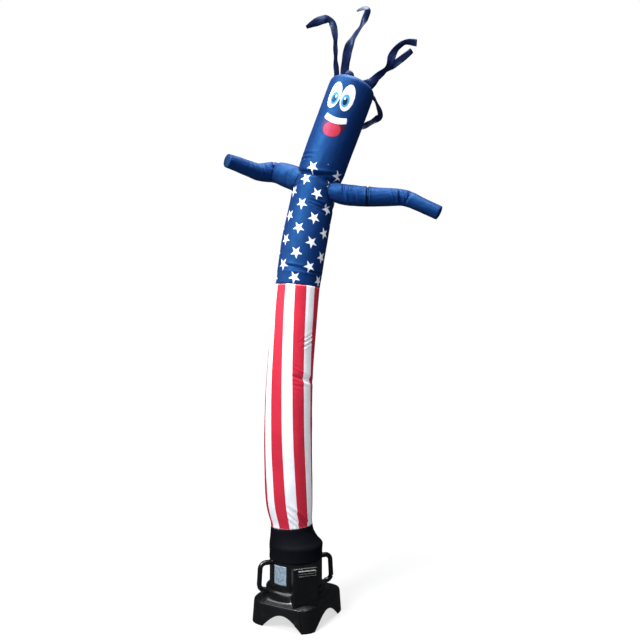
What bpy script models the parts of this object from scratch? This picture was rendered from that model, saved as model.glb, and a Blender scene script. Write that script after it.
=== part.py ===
"""Inflatable air dancer standing on its blower.

Metres, +Z up. The camera side is -Y. The tall cloth tube is one spine of round sections, cut
into a sleeve, a striped tube and a star tube. The arms and the ribbons are spines too.
"""

import math
from collections import namedtuple

import bmesh
import bpy
from mathutils import Matrix, Vector

# Places
ROOT_X = -0.3496
ROOT_Y = -0.0319
BLOWER_TURN = math.radians(-27.5)

# Cloth
CLOTH = 0.002
SEAM_GAP = 0.0003
EDGE_CLEARANCE = 0.002
TUBE_SIDES = 28
ARM_SIDES = 16

# Blower
WALL = 0.008
BASE_HALF = 0.355
BASE_DEEPER = 0.036
CORNER_REACH = 0.440
BASE_EDGE_Z = 0.208
ROOF_Z = 0.294
ROOF_HOLE_RADIUS = 0.240
ARCH_HALF_SPAN = 0.215
ARCH_HEIGHT = 0.132
ARCH_SHIFT = 0.050
LIP_RADIUS = 0.293
LIP_HEIGHT = 0.018
BARREL_RADIUS = 0.257
BARREL_WALL = 0.006
BARREL_TOP_Z = 0.692
BOX_REACH = 0.355
BOX_WIDTH = 0.243
BOX_TOP_Z = 0.568
HANDLE_RADIUS = 0.024
HANDLE_REACH = 0.374
HANDLE_ANGLE = math.radians(50)
PLATE_THICK = 0.002

Ring = namedtuple("Ring", "x y z across lean")
Section = namedtuple("Section", "x y z across")
Fold = namedtuple("Fold", "at angle spread depth width slant")
Twist = namedtuple("Twist", "x y z wide turn")

# The tall tube from the sleeve's hem to the top of the head, a row for each section. Lean is
# the section's tilt in degrees towards +X.
TRUNK = [
    Ring(0.000, 0.000, 0.574, 2 * (BARREL_RADIUS + 0.0004 + CLOTH), 0),
    Ring(0.000, 0.000, 0.632, 2 * (BARREL_RADIUS + 0.0004 + CLOTH), 0),
    Ring(0.000, 0.000, 0.672, 2 * (BARREL_RADIUS + EDGE_CLEARANCE + CLOTH), 0),
    Ring(0.000, 0.000, 0.706, 2 * (BARREL_RADIUS + EDGE_CLEARANCE + CLOTH), 0),
    Ring(-0.020, 0.000, 0.745, 0.475, -2),
    Ring(-0.038, 0.000, 0.812, 0.428, -4),
    Ring(-0.043, 0.000, 0.880, 0.413, -3),
    Ring(-0.046, -0.008, 0.925, 0.411, -3),
    Ring(-0.057, -0.020, 1.020, 0.438, -4),
    Ring(-0.066, -0.030, 1.130, 0.457, -3),
    Ring(-0.073, -0.045, 1.360, 0.468, -2),
    Ring(-0.077, -0.070, 1.710, 0.470, 0),
    Ring(-0.070, -0.080, 2.100, 0.463, 2),
    Ring(-0.057, -0.070, 2.390, 0.454, 3),
    Ring(-0.036, -0.050, 2.690, 0.450, 4),
    Ring(-0.012, -0.020, 2.990, 0.452, 5),
    Ring(0.012, 0.000, 3.227, 0.444, 5),
    Ring(0.036, 0.010, 3.395, 0.452, 7),
    Ring(0.060, 0.020, 3.560, 0.457, 9),
    Ring(0.088, 0.032, 3.730, 0.458, 10),
    Ring(0.120, 0.043, 3.900, 0.452, 11),
    Ring(0.154, 0.050, 4.070, 0.449, 12),
    Ring(0.184, 0.052, 4.205, 0.452, 14),
    Ring(0.205, 0.052, 4.280, 0.454, 15),
    Ring(0.222, 0.052, 4.330, 0.456, 17),
    Ring(0.240, 0.050, 4.380, 0.462, 18),
    Ring(0.263, 0.047, 4.440, 0.470, 19),
    Ring(0.309, 0.040, 4.570, 0.473, 20),
    Ring(0.407, 0.022, 4.825, 0.474, 20),
    Ring(0.509, 0.002, 5.100, 0.475, 20),
    Ring(0.556, -0.008, 5.228, 0.470, 20),
    Ring(0.569, -0.010, 5.260, 0.440, 20),
    Ring(0.577, -0.012, 5.283, 0.366, 20),
    Ring(0.5805, -0.0125, 5.292, 0.236, 20),
    Ring(0.582, -0.013, 5.296, 0.080, 20),
]
HEM, SLEEVE_SEAM, STAR_SEAM, CORE_START, TRUNK_TOP = 0, 6, 16, 20, len(TRUNK) - 1

# Folds in the tall tube: height, middle and half width in degrees (0 is +X, 270 the camera
# side), how deep, how tall, and how far the fold climbs over one turn.
TRUNK_FOLDS = [
    Fold(4.340, 250, 130, 0.052, 0.026, -0.02),
    Fold(4.285, 310, 45, 0.024, 0.022, 0.06),
    Fold(4.040, 330, 50, 0.014, 0.022, 0.20),
    Fold(2.365, 320, 55, 0.020, 0.026, 0.10),
]

ARM_LEFT = [
    Section(0.108, 0.056, 4.264, 0.274),
    Section(0.046, 0.072, 4.308, 0.262),
    Section(-0.016, 0.094, 4.344, 0.250),
    Section(-0.105, 0.132, 4.387, 0.240),
    Section(-0.196, 0.168, 4.425, 0.224),
    Section(-0.260, 0.182, 4.436, 0.208),
    Section(-0.320, 0.160, 4.430, 0.196),
    Section(-0.400, 0.104, 4.418, 0.174),
    Section(-0.480, 0.040, 4.430, 0.160),
    Section(-0.569, -0.032, 4.447, 0.150),
    Section(-0.684, -0.127, 4.465, 0.136),
]
ARM_LEFT_FOLDS = [
    Fold(2.3, 270, 70, 0.012, 0.28, 0.4),
    Fold(4.3, 300, 90, 0.024, 0.30, -0.8),
    Fold(5.4, 255, 80, 0.018, 0.28, 0.6),
]
ARM_RIGHT = [
    Section(0.248, -0.015, 4.196, 0.200),
    Section(0.318, -0.036, 4.178, 0.190),
    Section(0.375, -0.058, 4.165, 0.190),
    Section(0.460, -0.078, 4.141, 0.202),
    Section(0.554, -0.092, 4.125, 0.208),
    Section(0.711, -0.110, 4.108, 0.196),
    Section(0.906, -0.132, 4.098, 0.177),
    Section(1.000, -0.142, 4.095, 0.168),
    Section(1.070, -0.152, 4.084, 0.159),
    Section(1.140, -0.170, 4.054, 0.149),
    Section(1.213, -0.190, 4.013, 0.142),
    Section(1.299, -0.212, 3.966, 0.139),
    Section(1.391, -0.235, 3.915, 0.137),
]
ARM_RIGHT_FOLDS = [
    Fold(3.2, 90, 80, 0.012, 0.30, 0.5),
    Fold(7.6, 100, 100, 0.018, 0.30, 0.5),
    Fold(8.5, 80, 80, 0.012, 0.28, -0.5),
]

# Ribbons sewn to the top of the head, a row for each bend. Turn is in degrees, 0 face on.
RIBBONS = {
    "hair_1": [
        Twist(0.415, -0.030, 5.300, 0.074, 10),
        Twist(0.400, -0.040, 5.410, 0.070, 30),
        Twist(0.392, -0.055, 5.560, 0.066, 55),
        Twist(0.388, -0.060, 5.720, 0.066, 10),
        Twist(0.380, -0.055, 5.860, 0.068, -35),
        Twist(0.335, -0.040, 5.945, 0.068, -60),
        Twist(0.280, -0.020, 5.967, 0.066, -40),
        Twist(0.190, 0.010, 5.954, 0.066, -55),
        Twist(0.090, 0.040, 5.914, 0.064, -70),
    ],
    "hair_2": [
        Twist(0.500, 0.030, 5.280, 0.076, -10),
        Twist(0.485, 0.030, 5.390, 0.098, 20),
        Twist(0.500, 0.020, 5.540, 0.098, 40),
        Twist(0.530, 0.010, 5.680, 0.098, 5),
        Twist(0.580, -0.010, 5.785, 0.088, -40),
        Twist(0.665, -0.030, 5.885, 0.066, 15),
        Twist(0.707, -0.045, 5.993, 0.066, 35),
        Twist(0.719, -0.050, 6.049, 0.066, 75),
        Twist(0.672, -0.030, 6.079, 0.066, 80),
        Twist(0.613, 0.000, 6.043, 0.064, 60),
    ],
    "hair_3": [
        Twist(0.480, -0.110, 5.280, 0.058, 0),
        Twist(0.492, -0.125, 5.360, 0.056, -15),
        Twist(0.515, -0.135, 5.410, 0.056, -60),
        Twist(0.545, -0.130, 5.395, 0.056, -75),
        Twist(0.555, -0.120, 5.350, 0.054, -60),
    ],
    "hair_4": [
        Twist(0.675, -0.030, 5.230, 0.070, 20),
        Twist(0.755, -0.040, 5.305, 0.070, 25),
        Twist(0.830, -0.045, 5.370, 0.072, 30),
        Twist(0.895, -0.045, 5.420, 0.068, 70),
        Twist(0.926, -0.045, 5.500, 0.064, 95),
        Twist(0.945, -0.045, 5.580, 0.064, 50),
        Twist(1.010, -0.045, 5.644, 0.066, 30),
        Twist(1.113, -0.035, 5.696, 0.066, 60),
        Twist(1.219, -0.020, 5.701, 0.064, 70),
    ],
    "hair_5": [
        Twist(0.675, 0.060, 5.220, 0.074, 15),
        Twist(0.760, 0.060, 5.303, 0.072, 20),
        Twist(0.835, 0.055, 5.393, 0.070, 60),
        Twist(0.910, 0.050, 5.470, 0.066, 95),
        Twist(0.970, 0.045, 5.535, 0.064, 40),
        Twist(1.050, 0.045, 5.599, 0.070, 15),
        Twist(1.136, 0.050, 5.665, 0.070, 40),
    ],
    "hair_6": [
        Twist(0.700, 0.030, 5.185, 0.072, -20),
        Twist(0.814, 0.080, 5.187, 0.070, -30),
        Twist(0.853, 0.120, 5.117, 0.068, -50),
        Twist(0.859, 0.150, 5.036, 0.066, -20),
        Twist(0.795, 0.190, 4.999, 0.074, 40),
        Twist(0.720, 0.235, 4.961, 0.074, 60),
        Twist(0.650, 0.280, 4.942, 0.062, 75),
    ],
}


def clear_scene():
    for obj in list(bpy.data.objects):
        bpy.data.objects.remove(obj, do_unlink=True)


def collection(name):
    made = bpy.data.collections.new(name)
    bpy.context.scene.collection.children.link(made)
    return made


def material(name, colour, roughness, metallic=0.0):
    made = bpy.data.materials.new(name)
    made.use_nodes = True
    shader = made.node_tree.nodes["Principled BSDF"]
    shader.inputs["Base Color"].default_value = (*colour, 1.0)
    shader.inputs["Roughness"].default_value = roughness
    shader.inputs["Metallic"].default_value = metallic
    return made


def add_object(name, data, home, surface=None, turned=False):
    obj = bpy.data.objects.new(name, data)
    home.objects.link(obj)
    if surface:
        data.materials.append(surface)
    obj.parent = BLOWER_FRAME if turned else DANCER_FRAME
    return obj


def mesh_object(name, bm, home, surface=None, turned=False):
    data = bpy.data.meshes.new(name)
    bm.to_mesh(data)
    bm.free()
    data.shade_smooth()
    data.set_sharp_from_angle(angle=math.radians(38))
    return add_object(name, data, home, surface, turned)


def as_cutter(obj):
    obj.hide_render = True
    obj.display_type = "WIRE"
    return obj


def solidify(obj, thickness, offset):
    wall = obj.modifiers.new("Wall", "SOLIDIFY")
    wall.thickness = thickness
    wall.offset = offset
    wall.use_even_offset = True


def cut(obj, *cutters):
    for cutter in cutters:
        trim = obj.modifiers.new(f"Cut by {cutter.name}", "BOOLEAN")
        trim.operation = "DIFFERENCE"
        trim.object = cutter


def spline_value(before, start, end, after, t):
    """Catmull-Rom value between start and end."""
    slope_in = (end - before) / 2
    slope_out = (after - start) / 2
    return (
        (2 * t**3 - 3 * t**2 + 1) * start
        + (t**3 - 2 * t**2 + t) * slope_in
        + (3 * t**2 - 2 * t**3) * end
        + (t**3 - t**2) * slope_out
    )


def row_at(rows, place):
    """The row of a table at a place between its rows, on a smooth curve through them."""
    last = len(rows) - 1
    index = min(int(place), last - 1)
    near = [rows[min(max(index + step, 0), last)] for step in (-1, 0, 1, 2)]
    return type(rows[0])(*(spline_value(*values, place - index) for values in zip(*near)))


def centre_of(row):
    return Vector((row.x, row.y, row.z))


def direction_at(rows, place, step=0.05):
    if rows is TRUNK:
        lean = math.radians(row_at(rows, place).lean)
        return Vector((math.sin(lean), 0, math.cos(lean)))
    last = len(rows) - 1
    before = centre_of(row_at(rows, max(place - step, 0)))
    after = centre_of(row_at(rows, min(place + step, last)))
    return (after - before).normalized()


def fold_depth(folds, at, degrees):
    """How far the cloth is drawn in at this place and angle."""
    depth = 0.0
    for fold in folds:
        away = (degrees - fold.angle + 180) % 360 - 180
        if abs(away) >= fold.spread:
            continue
        fade = math.cos(math.pi / 2 * away / fold.spread) ** 1.3
        offset = at - fold.at - fold.slant * away / 360
        depth += fold.depth * fade * math.exp(-((offset / fold.width) ** 2))
    return depth


def tube_point(rows, place, degrees, inset, folds, sideways, by_height):
    """A point on a tube: place is along its rows, degrees are round it."""
    row = row_at(rows, place)
    along = direction_at(rows, place)
    right = (sideways - along * sideways.dot(along)).normalized()
    back = along.cross(right)
    at = row.z if by_height else place
    radius = row.across / 2 - inset - fold_depth(folds, at, degrees)
    angle = math.radians(degrees)
    return centre_of(row) + radius * (math.cos(angle) * right + math.sin(angle) * back)


def panel(columns, places, point, wrapped=False, closed_start=False, closed_end=False):
    """A cloth panel laid by point(u, place). A wrapped panel is joined edge to edge."""
    bm = bmesh.new()
    rows = len(places) - 1
    bmesh.ops.create_grid(bm, x_segments=columns, y_segments=rows, size=1.0)
    start = []
    end = []
    for vert in bm.verts:
        u = (vert.co.x + 1) / 2
        row = round((vert.co.y + 1) / 2 * rows)
        if row == 0:
            start.append(vert)
        if row == rows:
            end.append(vert)
        vert.co = point(u, places[row])
    if wrapped:
        bmesh.ops.remove_doubles(bm, verts=bm.verts, dist=0.00002)
    for wanted, verts in ((closed_start, start), (closed_end, end)):
        if wanted:
            rim = {vert for vert in verts if vert.is_valid}
            edges = [e for e in bm.edges if e.is_boundary and set(e.verts) <= rim]
            bmesh.ops.holes_fill(bm, edges=edges, sides=0)
    bmesh.ops.triangulate(bm, faces=bm.faces, quad_method="FIXED")
    return bm


def steps(first, last, per_row):
    """Places from one row of a table to another, with per_row places for each row."""
    count = round((last - first) * per_row)
    return [first + (last - first) * index / count for index in range(count + 1)]


def trunk_places(first, last, folds):
    """A place for each row, and close ones where a fold needs them."""
    places = set(steps(first, last, 1))
    for fold in folds:
        for index in range(first, last):
            low, high = TRUNK[index].z, TRUNK[index + 1].z
            for offset in (-1.9, -0.9, 0.0, 0.9, 1.9):
                height = fold.at + offset * fold.width
                if low < height < high:
                    places.add(index + (height - low) / (high - low))
    ordered = sorted(places)
    kept = [ordered[0]]
    for place in ordered[1:]:
        gap = (centre_of(row_at(TRUNK, place)) - centre_of(row_at(TRUNK, kept[-1]))).length
        if gap > 0.011 or place > TRUNK_TOP - 4:
            kept.append(place)
    kept[-1] = ordered[-1]
    return kept


def tube(rows, places, sides, inset=0.0, folds=(), sideways=Vector((1, 0, 0)),
         by_height=False, closed_start=False, closed_end=False):
    def point(u, place):
        return tube_point(rows, place, 360 * (u % 1.0), inset, folds, sideways, by_height)

    return panel(sides, places, point, True, closed_start, closed_end)


def trunk_piece(name, first, last, surface, starts_at_seam, closed_end=False):
    """A length of the tall tube. The sections at its two ends are shared with its neighbours."""
    places = trunk_places(first, last, TRUNK_FOLDS)
    if starts_at_seam:
        span = (centre_of(TRUNK[first + 1]) - centre_of(TRUNK[first])).length
        places[0] = first + SEAM_GAP / span
    bm = tube(TRUNK, places, TUBE_SIDES, folds=TRUNK_FOLDS, by_height=True, closed_end=closed_end)
    obj = mesh_object(name, bm, PARTS, surface)
    solidify(obj, CLOTH, -1)
    return obj


def trunk_core(inset):
    """A solid of the trunk's upper part, for trimming what is sewn to it."""
    whole = trunk_places(STAR_SEAM, TRUNK_TOP, TRUNK_FOLDS)
    places = [place for place in whole if place >= CORE_START]
    bm = tube(TRUNK, places, TUBE_SIDES, inset=inset, folds=TRUNK_FOLDS, by_height=True,
              closed_start=True, closed_end=True)
    return as_cutter(mesh_object("trunk_core", bm, CUTTERS))


def arm(name, rows, folds, trunk):
    """The arm's cloth, trimmed where it meets the tall tube, and the solid that opens the tube."""
    up = Vector((0, 0, 1))
    last = len(rows) - 1
    bm = tube(rows, steps(0, last, 2), ARM_SIDES, folds=folds, sideways=up, closed_end=True)
    obj = mesh_object(name, bm, PARTS, BLUE_CLOTH)
    solidify(obj, CLOTH, -1)
    cut(obj, trunk)
    hole = tube(rows, steps(0, 4, 2), ARM_SIDES, inset=CLOTH, folds=folds, sideways=up,
                closed_start=True, closed_end=True)
    return obj, as_cutter(mesh_object(f"{name}_hole", hole, CUTTERS))


def ribbon(name, rows, trunk):
    """A cloth strip that twists along its bends."""
    view = Vector((0, 1, 0))

    def point(u, place):
        row = row_at(rows, place)
        along = direction_at(rows, place, 0.25)
        face_on = along.cross(view).normalized()
        across = Matrix.Rotation(math.radians(row.turn), 3, along) @ face_on
        return centre_of(row) + across * (u - 0.5) * row.wide

    bm = panel(2, steps(0, len(rows) - 1, 2), point)
    obj = mesh_object(name, bm, PARTS, RIBBON_CLOTH)
    solidify(obj, CLOTH, 0)
    cut(obj, trunk)
    return obj


def square_radius(degrees, half, reach, rounding=14):
    """The outline of the base: a square of half width, with corners cut off at reach."""
    angle = math.radians(degrees)
    total = 0.0
    for side in range(8):
        limit = reach if side % 2 else half
        toward = math.cos(angle - side * math.pi / 4)
        if toward > 0:
            total += (toward / limit) ** rounding
    return total ** (-1 / rounding)


def arch_height(degrees):
    """How high the skirt's lower edge is cut: half a sine wave in each side.

    The two sides beside the control box have theirs nearer to that corner.
    """
    side = (degrees + 45) % 90 - 45
    sideways = BASE_HALF * math.tan(math.radians(side))
    if degrees % 360 > 315 or degrees % 360 <= 45:
        sideways += ARCH_SHIFT
    elif 225 < degrees % 360 <= 315:
        sideways -= ARCH_SHIFT
    if abs(sideways) >= ARCH_HALF_SPAN:
        return 0.0
    return ARCH_HEIGHT * math.cos(math.pi / 2 * sideways / ARCH_HALF_SPAN)


def base_shell(name, inset, home, surface=None, closed=False):
    """The skirt and its sloping roof up to the hole under the barrel. A closed one has no arches."""
    Level = namedtuple("Level", "z half reach round")
    below_floor = 0.010
    shoulder = BASE_EDGE_Z - 0.014
    levels = [
        Level(-below_floor, BASE_HALF, CORNER_REACH, 0.0),
        Level(0.110, BASE_HALF - 0.006, CORNER_REACH - 0.009, 0.0),
        Level(shoulder, BASE_HALF - 0.011, CORNER_REACH - 0.016, 0.0),
        Level(BASE_EDGE_Z, BASE_HALF - 0.024, CORNER_REACH - 0.030, 0.0),
        Level(0.229, BASE_HALF - 0.052, CORNER_REACH - 0.074, 0.15),
        Level(0.260, BASE_HALF - 0.060, CORNER_REACH - 0.118, 0.75),
        Level(ROOF_Z, LIP_RADIUS - 0.012, LIP_RADIUS - 0.012, 1.0),
        Level(ROOF_Z, ROOF_HOLE_RADIUS, ROOF_HOLE_RADIUS, 1.0),
    ]

    def point(u, place):
        level = levels[place]
        degrees = 360 * (u % 1.0)
        squared = square_radius(degrees, level.half, level.reach)
        radius = squared * (1 - level.round) + level.half * level.round + inset
        deeper = BASE_DEEPER * (1 - level.round)
        angle = math.radians(degrees)
        x = radius * math.cos(angle)
        y = radius * math.sin(angle) * (1 + deeper / BASE_HALF) + deeper
        lift = inset if place > 3 else 0.0
        raised = 0.0 if closed else arch_height(degrees)
        if raised > 0:
            lift += (raised + below_floor) * max(0.0, (shoulder - level.z) / (shoulder + below_floor))
        return Vector((x, y, level.z + lift))

    bm = panel(72, list(range(len(levels))), point, True, closed, closed)
    return mesh_object(name, bm, home, surface, turned=True)


def turned_solid(name, profile, surface, home=None):
    """A profile of (radius, height) turned round the blower's axis. It ends on the axis or is closed."""
    data = bpy.data.meshes.new(name)
    points = [(radius, 0.0, height) for radius, height in profile]
    count = len(points)
    edges = [(index, index + 1) for index in range(count - 1)]
    if profile[0][0] > 0:
        edges.append((count - 1, 0))
    data.from_pydata(points, edges, [])
    obj = add_object(name, data, home or PARTS, surface)
    screw = obj.modifiers.new("Turn", "SCREW")
    screw.steps = TUBE_SIDES
    screw.render_steps = TUBE_SIDES
    screw.use_merge_vertices = True
    screw.merge_threshold = 0.00001
    screw.use_smooth_shade = True
    return obj


def box(name, size, centre, surface=None, home=None, bevel=0.0, turn=0.0):
    bm = bmesh.new()
    bmesh.ops.create_cube(bm, size=1.0)
    bmesh.ops.scale(bm, verts=bm.verts, vec=size)
    if bevel:
        bmesh.ops.bevel(bm, geom=bm.edges, offset=bevel, segments=1, profile=0.5,
                        affect="EDGES", material=-1)
    spin = Matrix.Rotation(turn, 4, "Z")
    bmesh.ops.transform(bm, verts=bm.verts, matrix=spin @ Matrix.Translation(centre))
    return mesh_object(name, bm, home or PARTS, surface, turned=True)


def blower_base():
    base = base_shell("blower_base", 0.0, PARTS, BLACK_PLASTIC)
    solidify(base, WALL, -1)
    floor = box("floor", (2.0, 2.0, 0.2), Vector((0, 0, -0.1)), home=CUTTERS)
    cut(base, as_cutter(floor))


def collar():
    low = ROOF_Z + SEAM_GAP
    high = low + LIP_HEIGHT
    profile = [
        (LIP_RADIUS - 0.006, high),
        (LIP_RADIUS, high - 0.006),
        (LIP_RADIUS, low + 0.006),
        (LIP_RADIUS - 0.006, low),
        (ROOF_HOLE_RADIUS, low),
        (ROOF_HOLE_RADIUS, high),
    ]
    turned_solid("blower_collar", profile, BLACK_PLASTIC)
    return high


def barrel(low):
    inner = BARREL_RADIUS - BARREL_WALL
    profile = [
        (BARREL_RADIUS - 0.002, BARREL_TOP_Z),
        (BARREL_RADIUS, BARREL_TOP_Z - 0.002),
        (BARREL_RADIUS, low + SEAM_GAP),
        (inner, low + SEAM_GAP),
        (inner, BARREL_TOP_Z - 0.002),
        (inner + 0.002, BARREL_TOP_Z),
    ]
    turned_solid("blower_barrel", profile, BLACK_PLASTIC)


def axis_core(low):
    """A solid of the collar and the barrel, for trimming what is fixed to them."""
    gap = SEAM_GAP
    profile = [
        (0.0, BARREL_TOP_Z + 0.05),
        (BARREL_RADIUS + gap, BARREL_TOP_Z + 0.05),
        (BARREL_RADIUS + gap, low + gap),
        (LIP_RADIUS + gap, low + gap),
        (LIP_RADIUS + gap, ROOF_Z - 0.02),
        (0.0, ROOF_Z - 0.02),
    ]
    return as_cutter(turned_solid("axis_core", profile, None, CUTTERS))


def control_box(core, base_core):
    front = math.radians(-45)
    low = 0.200
    deep = 0.150
    size = (deep, BOX_WIDTH, BOX_TOP_Z - low)
    centre = Vector((BOX_REACH - deep / 2, 0, (BOX_TOP_Z + low) / 2))
    case = box("control_box", size, centre, BLACK_PLASTIC, bevel=0.010, turn=front)
    for index, height in enumerate((0.541, 0.520, 0.499)):
        groove = Vector((BOX_REACH, 0.012, height))
        slot = box(f"groove_{index + 1}", (0.010, BOX_WIDTH - 0.075, 0.007), groove,
                   home=CUTTERS, turn=front)
        cut(case, as_cutter(slot))
    cut(case, core, base_core)


def handle(name, turn, core, base_core):
    """A D handle: out of the barrel, down, and back into the corner of the base."""
    corner = 0.055
    top, bottom = 0.545, 0.294
    curve = bpy.data.curves.new(name, "CURVE")
    curve.dimensions = "3D"
    curve.bevel_depth = HANDLE_RADIUS
    curve.bevel_resolution = 3
    curve.use_fill_caps = True
    path = [(BARREL_RADIUS - 0.030, top)]
    for step in range(5):
        angle = math.pi / 2 * (1 - step / 4)
        path.append((HANDLE_REACH - 0.008 - corner * (1 - math.cos(angle)),
                     top - corner * (1 - math.sin(angle))))
    for step in range(5):
        angle = math.pi / 2 * step / 4
        path.append((HANDLE_REACH - corner * (1 - math.cos(angle)),
                     bottom + corner * (1 - math.sin(angle))))
    path.append((LIP_RADIUS - 0.045, bottom - 0.052))
    spline = curve.splines.new("POLY")
    spline.points.add(len(path) - 1)
    for knot, (radius, height) in zip(spline.points, path):
        knot.co = (radius, 0.0, height, 1.0)
    guide = add_object(f"{name}_guide", curve, CUTTERS, turned=True)
    bpy.context.view_layer.update()
    graph = bpy.context.evaluated_depsgraph_get()
    data = bpy.data.meshes.new_from_object(guide.evaluated_get(graph))
    bm = bmesh.new()
    bm.from_mesh(data)
    bpy.data.objects.remove(guide, do_unlink=True)
    bpy.data.meshes.remove(data)
    bmesh.ops.remove_doubles(bm, verts=bm.verts, dist=0.00001)
    bmesh.ops.rotate(bm, verts=bm.verts, cent=(0, 0, 0), matrix=Matrix.Rotation(turn, 3, "Z"))
    obj = mesh_object(name, bm, PARTS, BLACK_PLASTIC, turned=True)
    cut(obj, core, base_core)


def intake_grille():
    """A flat guard with long slots, under the hole in the base's roof."""
    thick = 0.004
    top = ROOF_Z - WALL - SEAM_GAP
    outer = ROOF_HOLE_RADIUS + 0.018
    profile = [(0.0, top), (outer, top), (outer, top - thick), (0.0, top - thick)]
    guard = turned_solid("intake_grille", profile, BLACK_PLASTIC)
    for index in range(12):
        middle = (ROOF_HOLE_RADIUS + 0.075) / 2
        size = (ROOF_HOLE_RADIUS - 0.095, 0.030, 0.05)
        place = Vector((middle, 0, top))
        slot = box(f"slot_{index + 1}", size, place, home=CUTTERS, turn=index * math.pi / 6)
        cut(guard, as_cutter(slot))


def rating_plate():
    """A blank plate bent round the barrel, left of the control box."""
    Edge = namedtuple("Edge", "low high")
    angles = Edge(-113.0, -81.0)
    heights = Edge(0.368, 0.545)
    radius = BARREL_RADIUS + SEAM_GAP

    def point(u, place):
        angle = math.radians(angles.low + (angles.high - angles.low) * u)
        height = heights.low + (heights.high - heights.low) * place
        return Vector((radius * math.cos(angle), radius * math.sin(angle), height))

    bm = panel(6, [0.0, 1.0], point)
    plate = mesh_object("rating_plate", bm, PARTS, PALE_PLATE, turned=True)
    solidify(plate, PLATE_THICK, 1)


clear_scene()
PARTS = collection("air_dancer")
CUTTERS = collection("cutters")

DANCER_FRAME = bpy.data.objects.new("dancer_frame", None)
DANCER_FRAME.location = (ROOT_X, ROOT_Y, 0.0)
PARTS.objects.link(DANCER_FRAME)
BLOWER_FRAME = bpy.data.objects.new("blower_frame", None)
BLOWER_FRAME.parent = DANCER_FRAME
BLOWER_FRAME.rotation_euler = (0.0, 0.0, BLOWER_TURN)
PARTS.objects.link(BLOWER_FRAME)

BLACK_CLOTH = material("black cloth", (0.010, 0.010, 0.014), 0.60)
STRIPED_CLOTH = material("red and white cloth", (0.62, 0.06, 0.10), 0.50)
BLUE_CLOTH = material("blue cloth", (0.03, 0.12, 0.42), 0.48)
RIBBON_CLOTH = material("dark blue cloth", (0.010, 0.020, 0.090), 0.40)
BLACK_PLASTIC = material("black plastic", (0.008, 0.009, 0.011), 0.42)
PALE_PLATE = material("pale plate", (0.55, 0.66, 0.74), 0.45)

trunk_piece("base_sleeve", HEM, SLEEVE_SEAM, BLACK_CLOTH, False)
trunk_piece("striped_tube", SLEEVE_SEAM, STAR_SEAM, STRIPED_CLOTH, True)
star_tube = trunk_piece("star_tube", STAR_SEAM, TRUNK_TOP, BLUE_CLOTH, True, closed_end=True)
trunk = trunk_core(-SEAM_GAP)
for arm_name, arm_rows, arm_folds in (
    ("arm_left", ARM_LEFT, ARM_LEFT_FOLDS),
    ("arm_right", ARM_RIGHT, ARM_RIGHT_FOLDS),
):
    _, opening = arm(arm_name, arm_rows, arm_folds, trunk)
    cut(star_tube, opening)
for ribbon_name, ribbon_rows in RIBBONS.items():
    ribbon(ribbon_name, ribbon_rows, trunk)

blower_base()
collar_top = collar()
barrel(collar_top)
blower_core = axis_core(collar_top)
skirt_core = as_cutter(base_shell("skirt_core", SEAM_GAP, CUTTERS, closed=True))
control_box(blower_core, skirt_core)
handle("handle_right", HANDLE_ANGLE, blower_core, skirt_core)
handle("handle_left", HANDLE_ANGLE - math.pi, blower_core, skirt_core)
intake_grille()
rating_plate()
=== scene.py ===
"""Looks of the inflatable air dancer and its blower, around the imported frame.

Metres, +Z up. The camera side is -Y. Angles round a tube are in degrees. Round the tall tube 0 is +X
and 270 faces the camera. Round an arm 0 is up. Every cloth piece has a UV map: U is turns round the
tube, V is metres along it.
"""

import math
from collections import namedtuple

import bmesh
import bpy
from mathutils import Matrix, Vector, noise


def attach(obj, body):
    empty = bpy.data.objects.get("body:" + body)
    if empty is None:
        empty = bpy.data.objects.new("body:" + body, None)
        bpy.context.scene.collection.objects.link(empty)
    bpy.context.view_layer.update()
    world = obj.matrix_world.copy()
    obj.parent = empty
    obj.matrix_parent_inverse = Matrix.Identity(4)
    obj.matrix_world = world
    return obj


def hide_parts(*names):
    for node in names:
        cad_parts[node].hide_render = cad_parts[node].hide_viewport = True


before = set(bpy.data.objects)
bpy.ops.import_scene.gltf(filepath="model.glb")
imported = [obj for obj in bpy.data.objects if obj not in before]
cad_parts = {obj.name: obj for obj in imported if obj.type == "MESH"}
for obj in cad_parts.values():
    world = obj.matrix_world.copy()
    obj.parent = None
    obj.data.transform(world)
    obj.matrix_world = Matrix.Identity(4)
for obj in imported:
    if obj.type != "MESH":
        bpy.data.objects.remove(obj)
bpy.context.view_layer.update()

# Places, as in the solids
ROOT_X = -0.3496
ROOT_Y = -0.0319
BLOWER_TURN = math.radians(-27.5)
ROOT = Vector((ROOT_X, ROOT_Y, 0.0))
BLOWER = Matrix.Translation(ROOT) @ Matrix.Rotation(BLOWER_TURN, 4, "Z")

# Camera: its height, its distance from the blower, its place to the right of the blower's axis
CAMERA_HEIGHT = 2.60
CAMERA_BACK = 6.20
CAMERA_RIGHT = 0.236
FOCAL_PIXELS = 621
HORIZON_DROP_PIXELS = 29
PHOTO_PIXELS = 640

# Cloth. No arm or ribbon is as long as the unstitched length, so no stitches cross its far end.
# An armhole lies between these heights, these rows of the tall tube and these rows of its arm.
CLOTH = 0.0016
RIBBON = 0.0012
TUBE_CIRCUMFERENCE = 1.45
UNSTITCHED = 4.0
SEAM_PUCKERS = 34
TUBE_COLUMNS = 176
ARM_COLUMNS = 96
ARMHOLE_COLUMNS = 72
ARMHOLE_PUCKERS = 15
ARMHOLE_HEIGHTS = (3.8, 4.7)
ARMHOLE_TRUNK_ROWS = (17.0, 31.0)
ARMHOLE_ARM_ROWS = (0.0, 4.0)

# Stripes, and the stripe whose middle STRIPE_TURN places
STRIPES = 13
BRIGHT_STRIPE = 5.5

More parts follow.
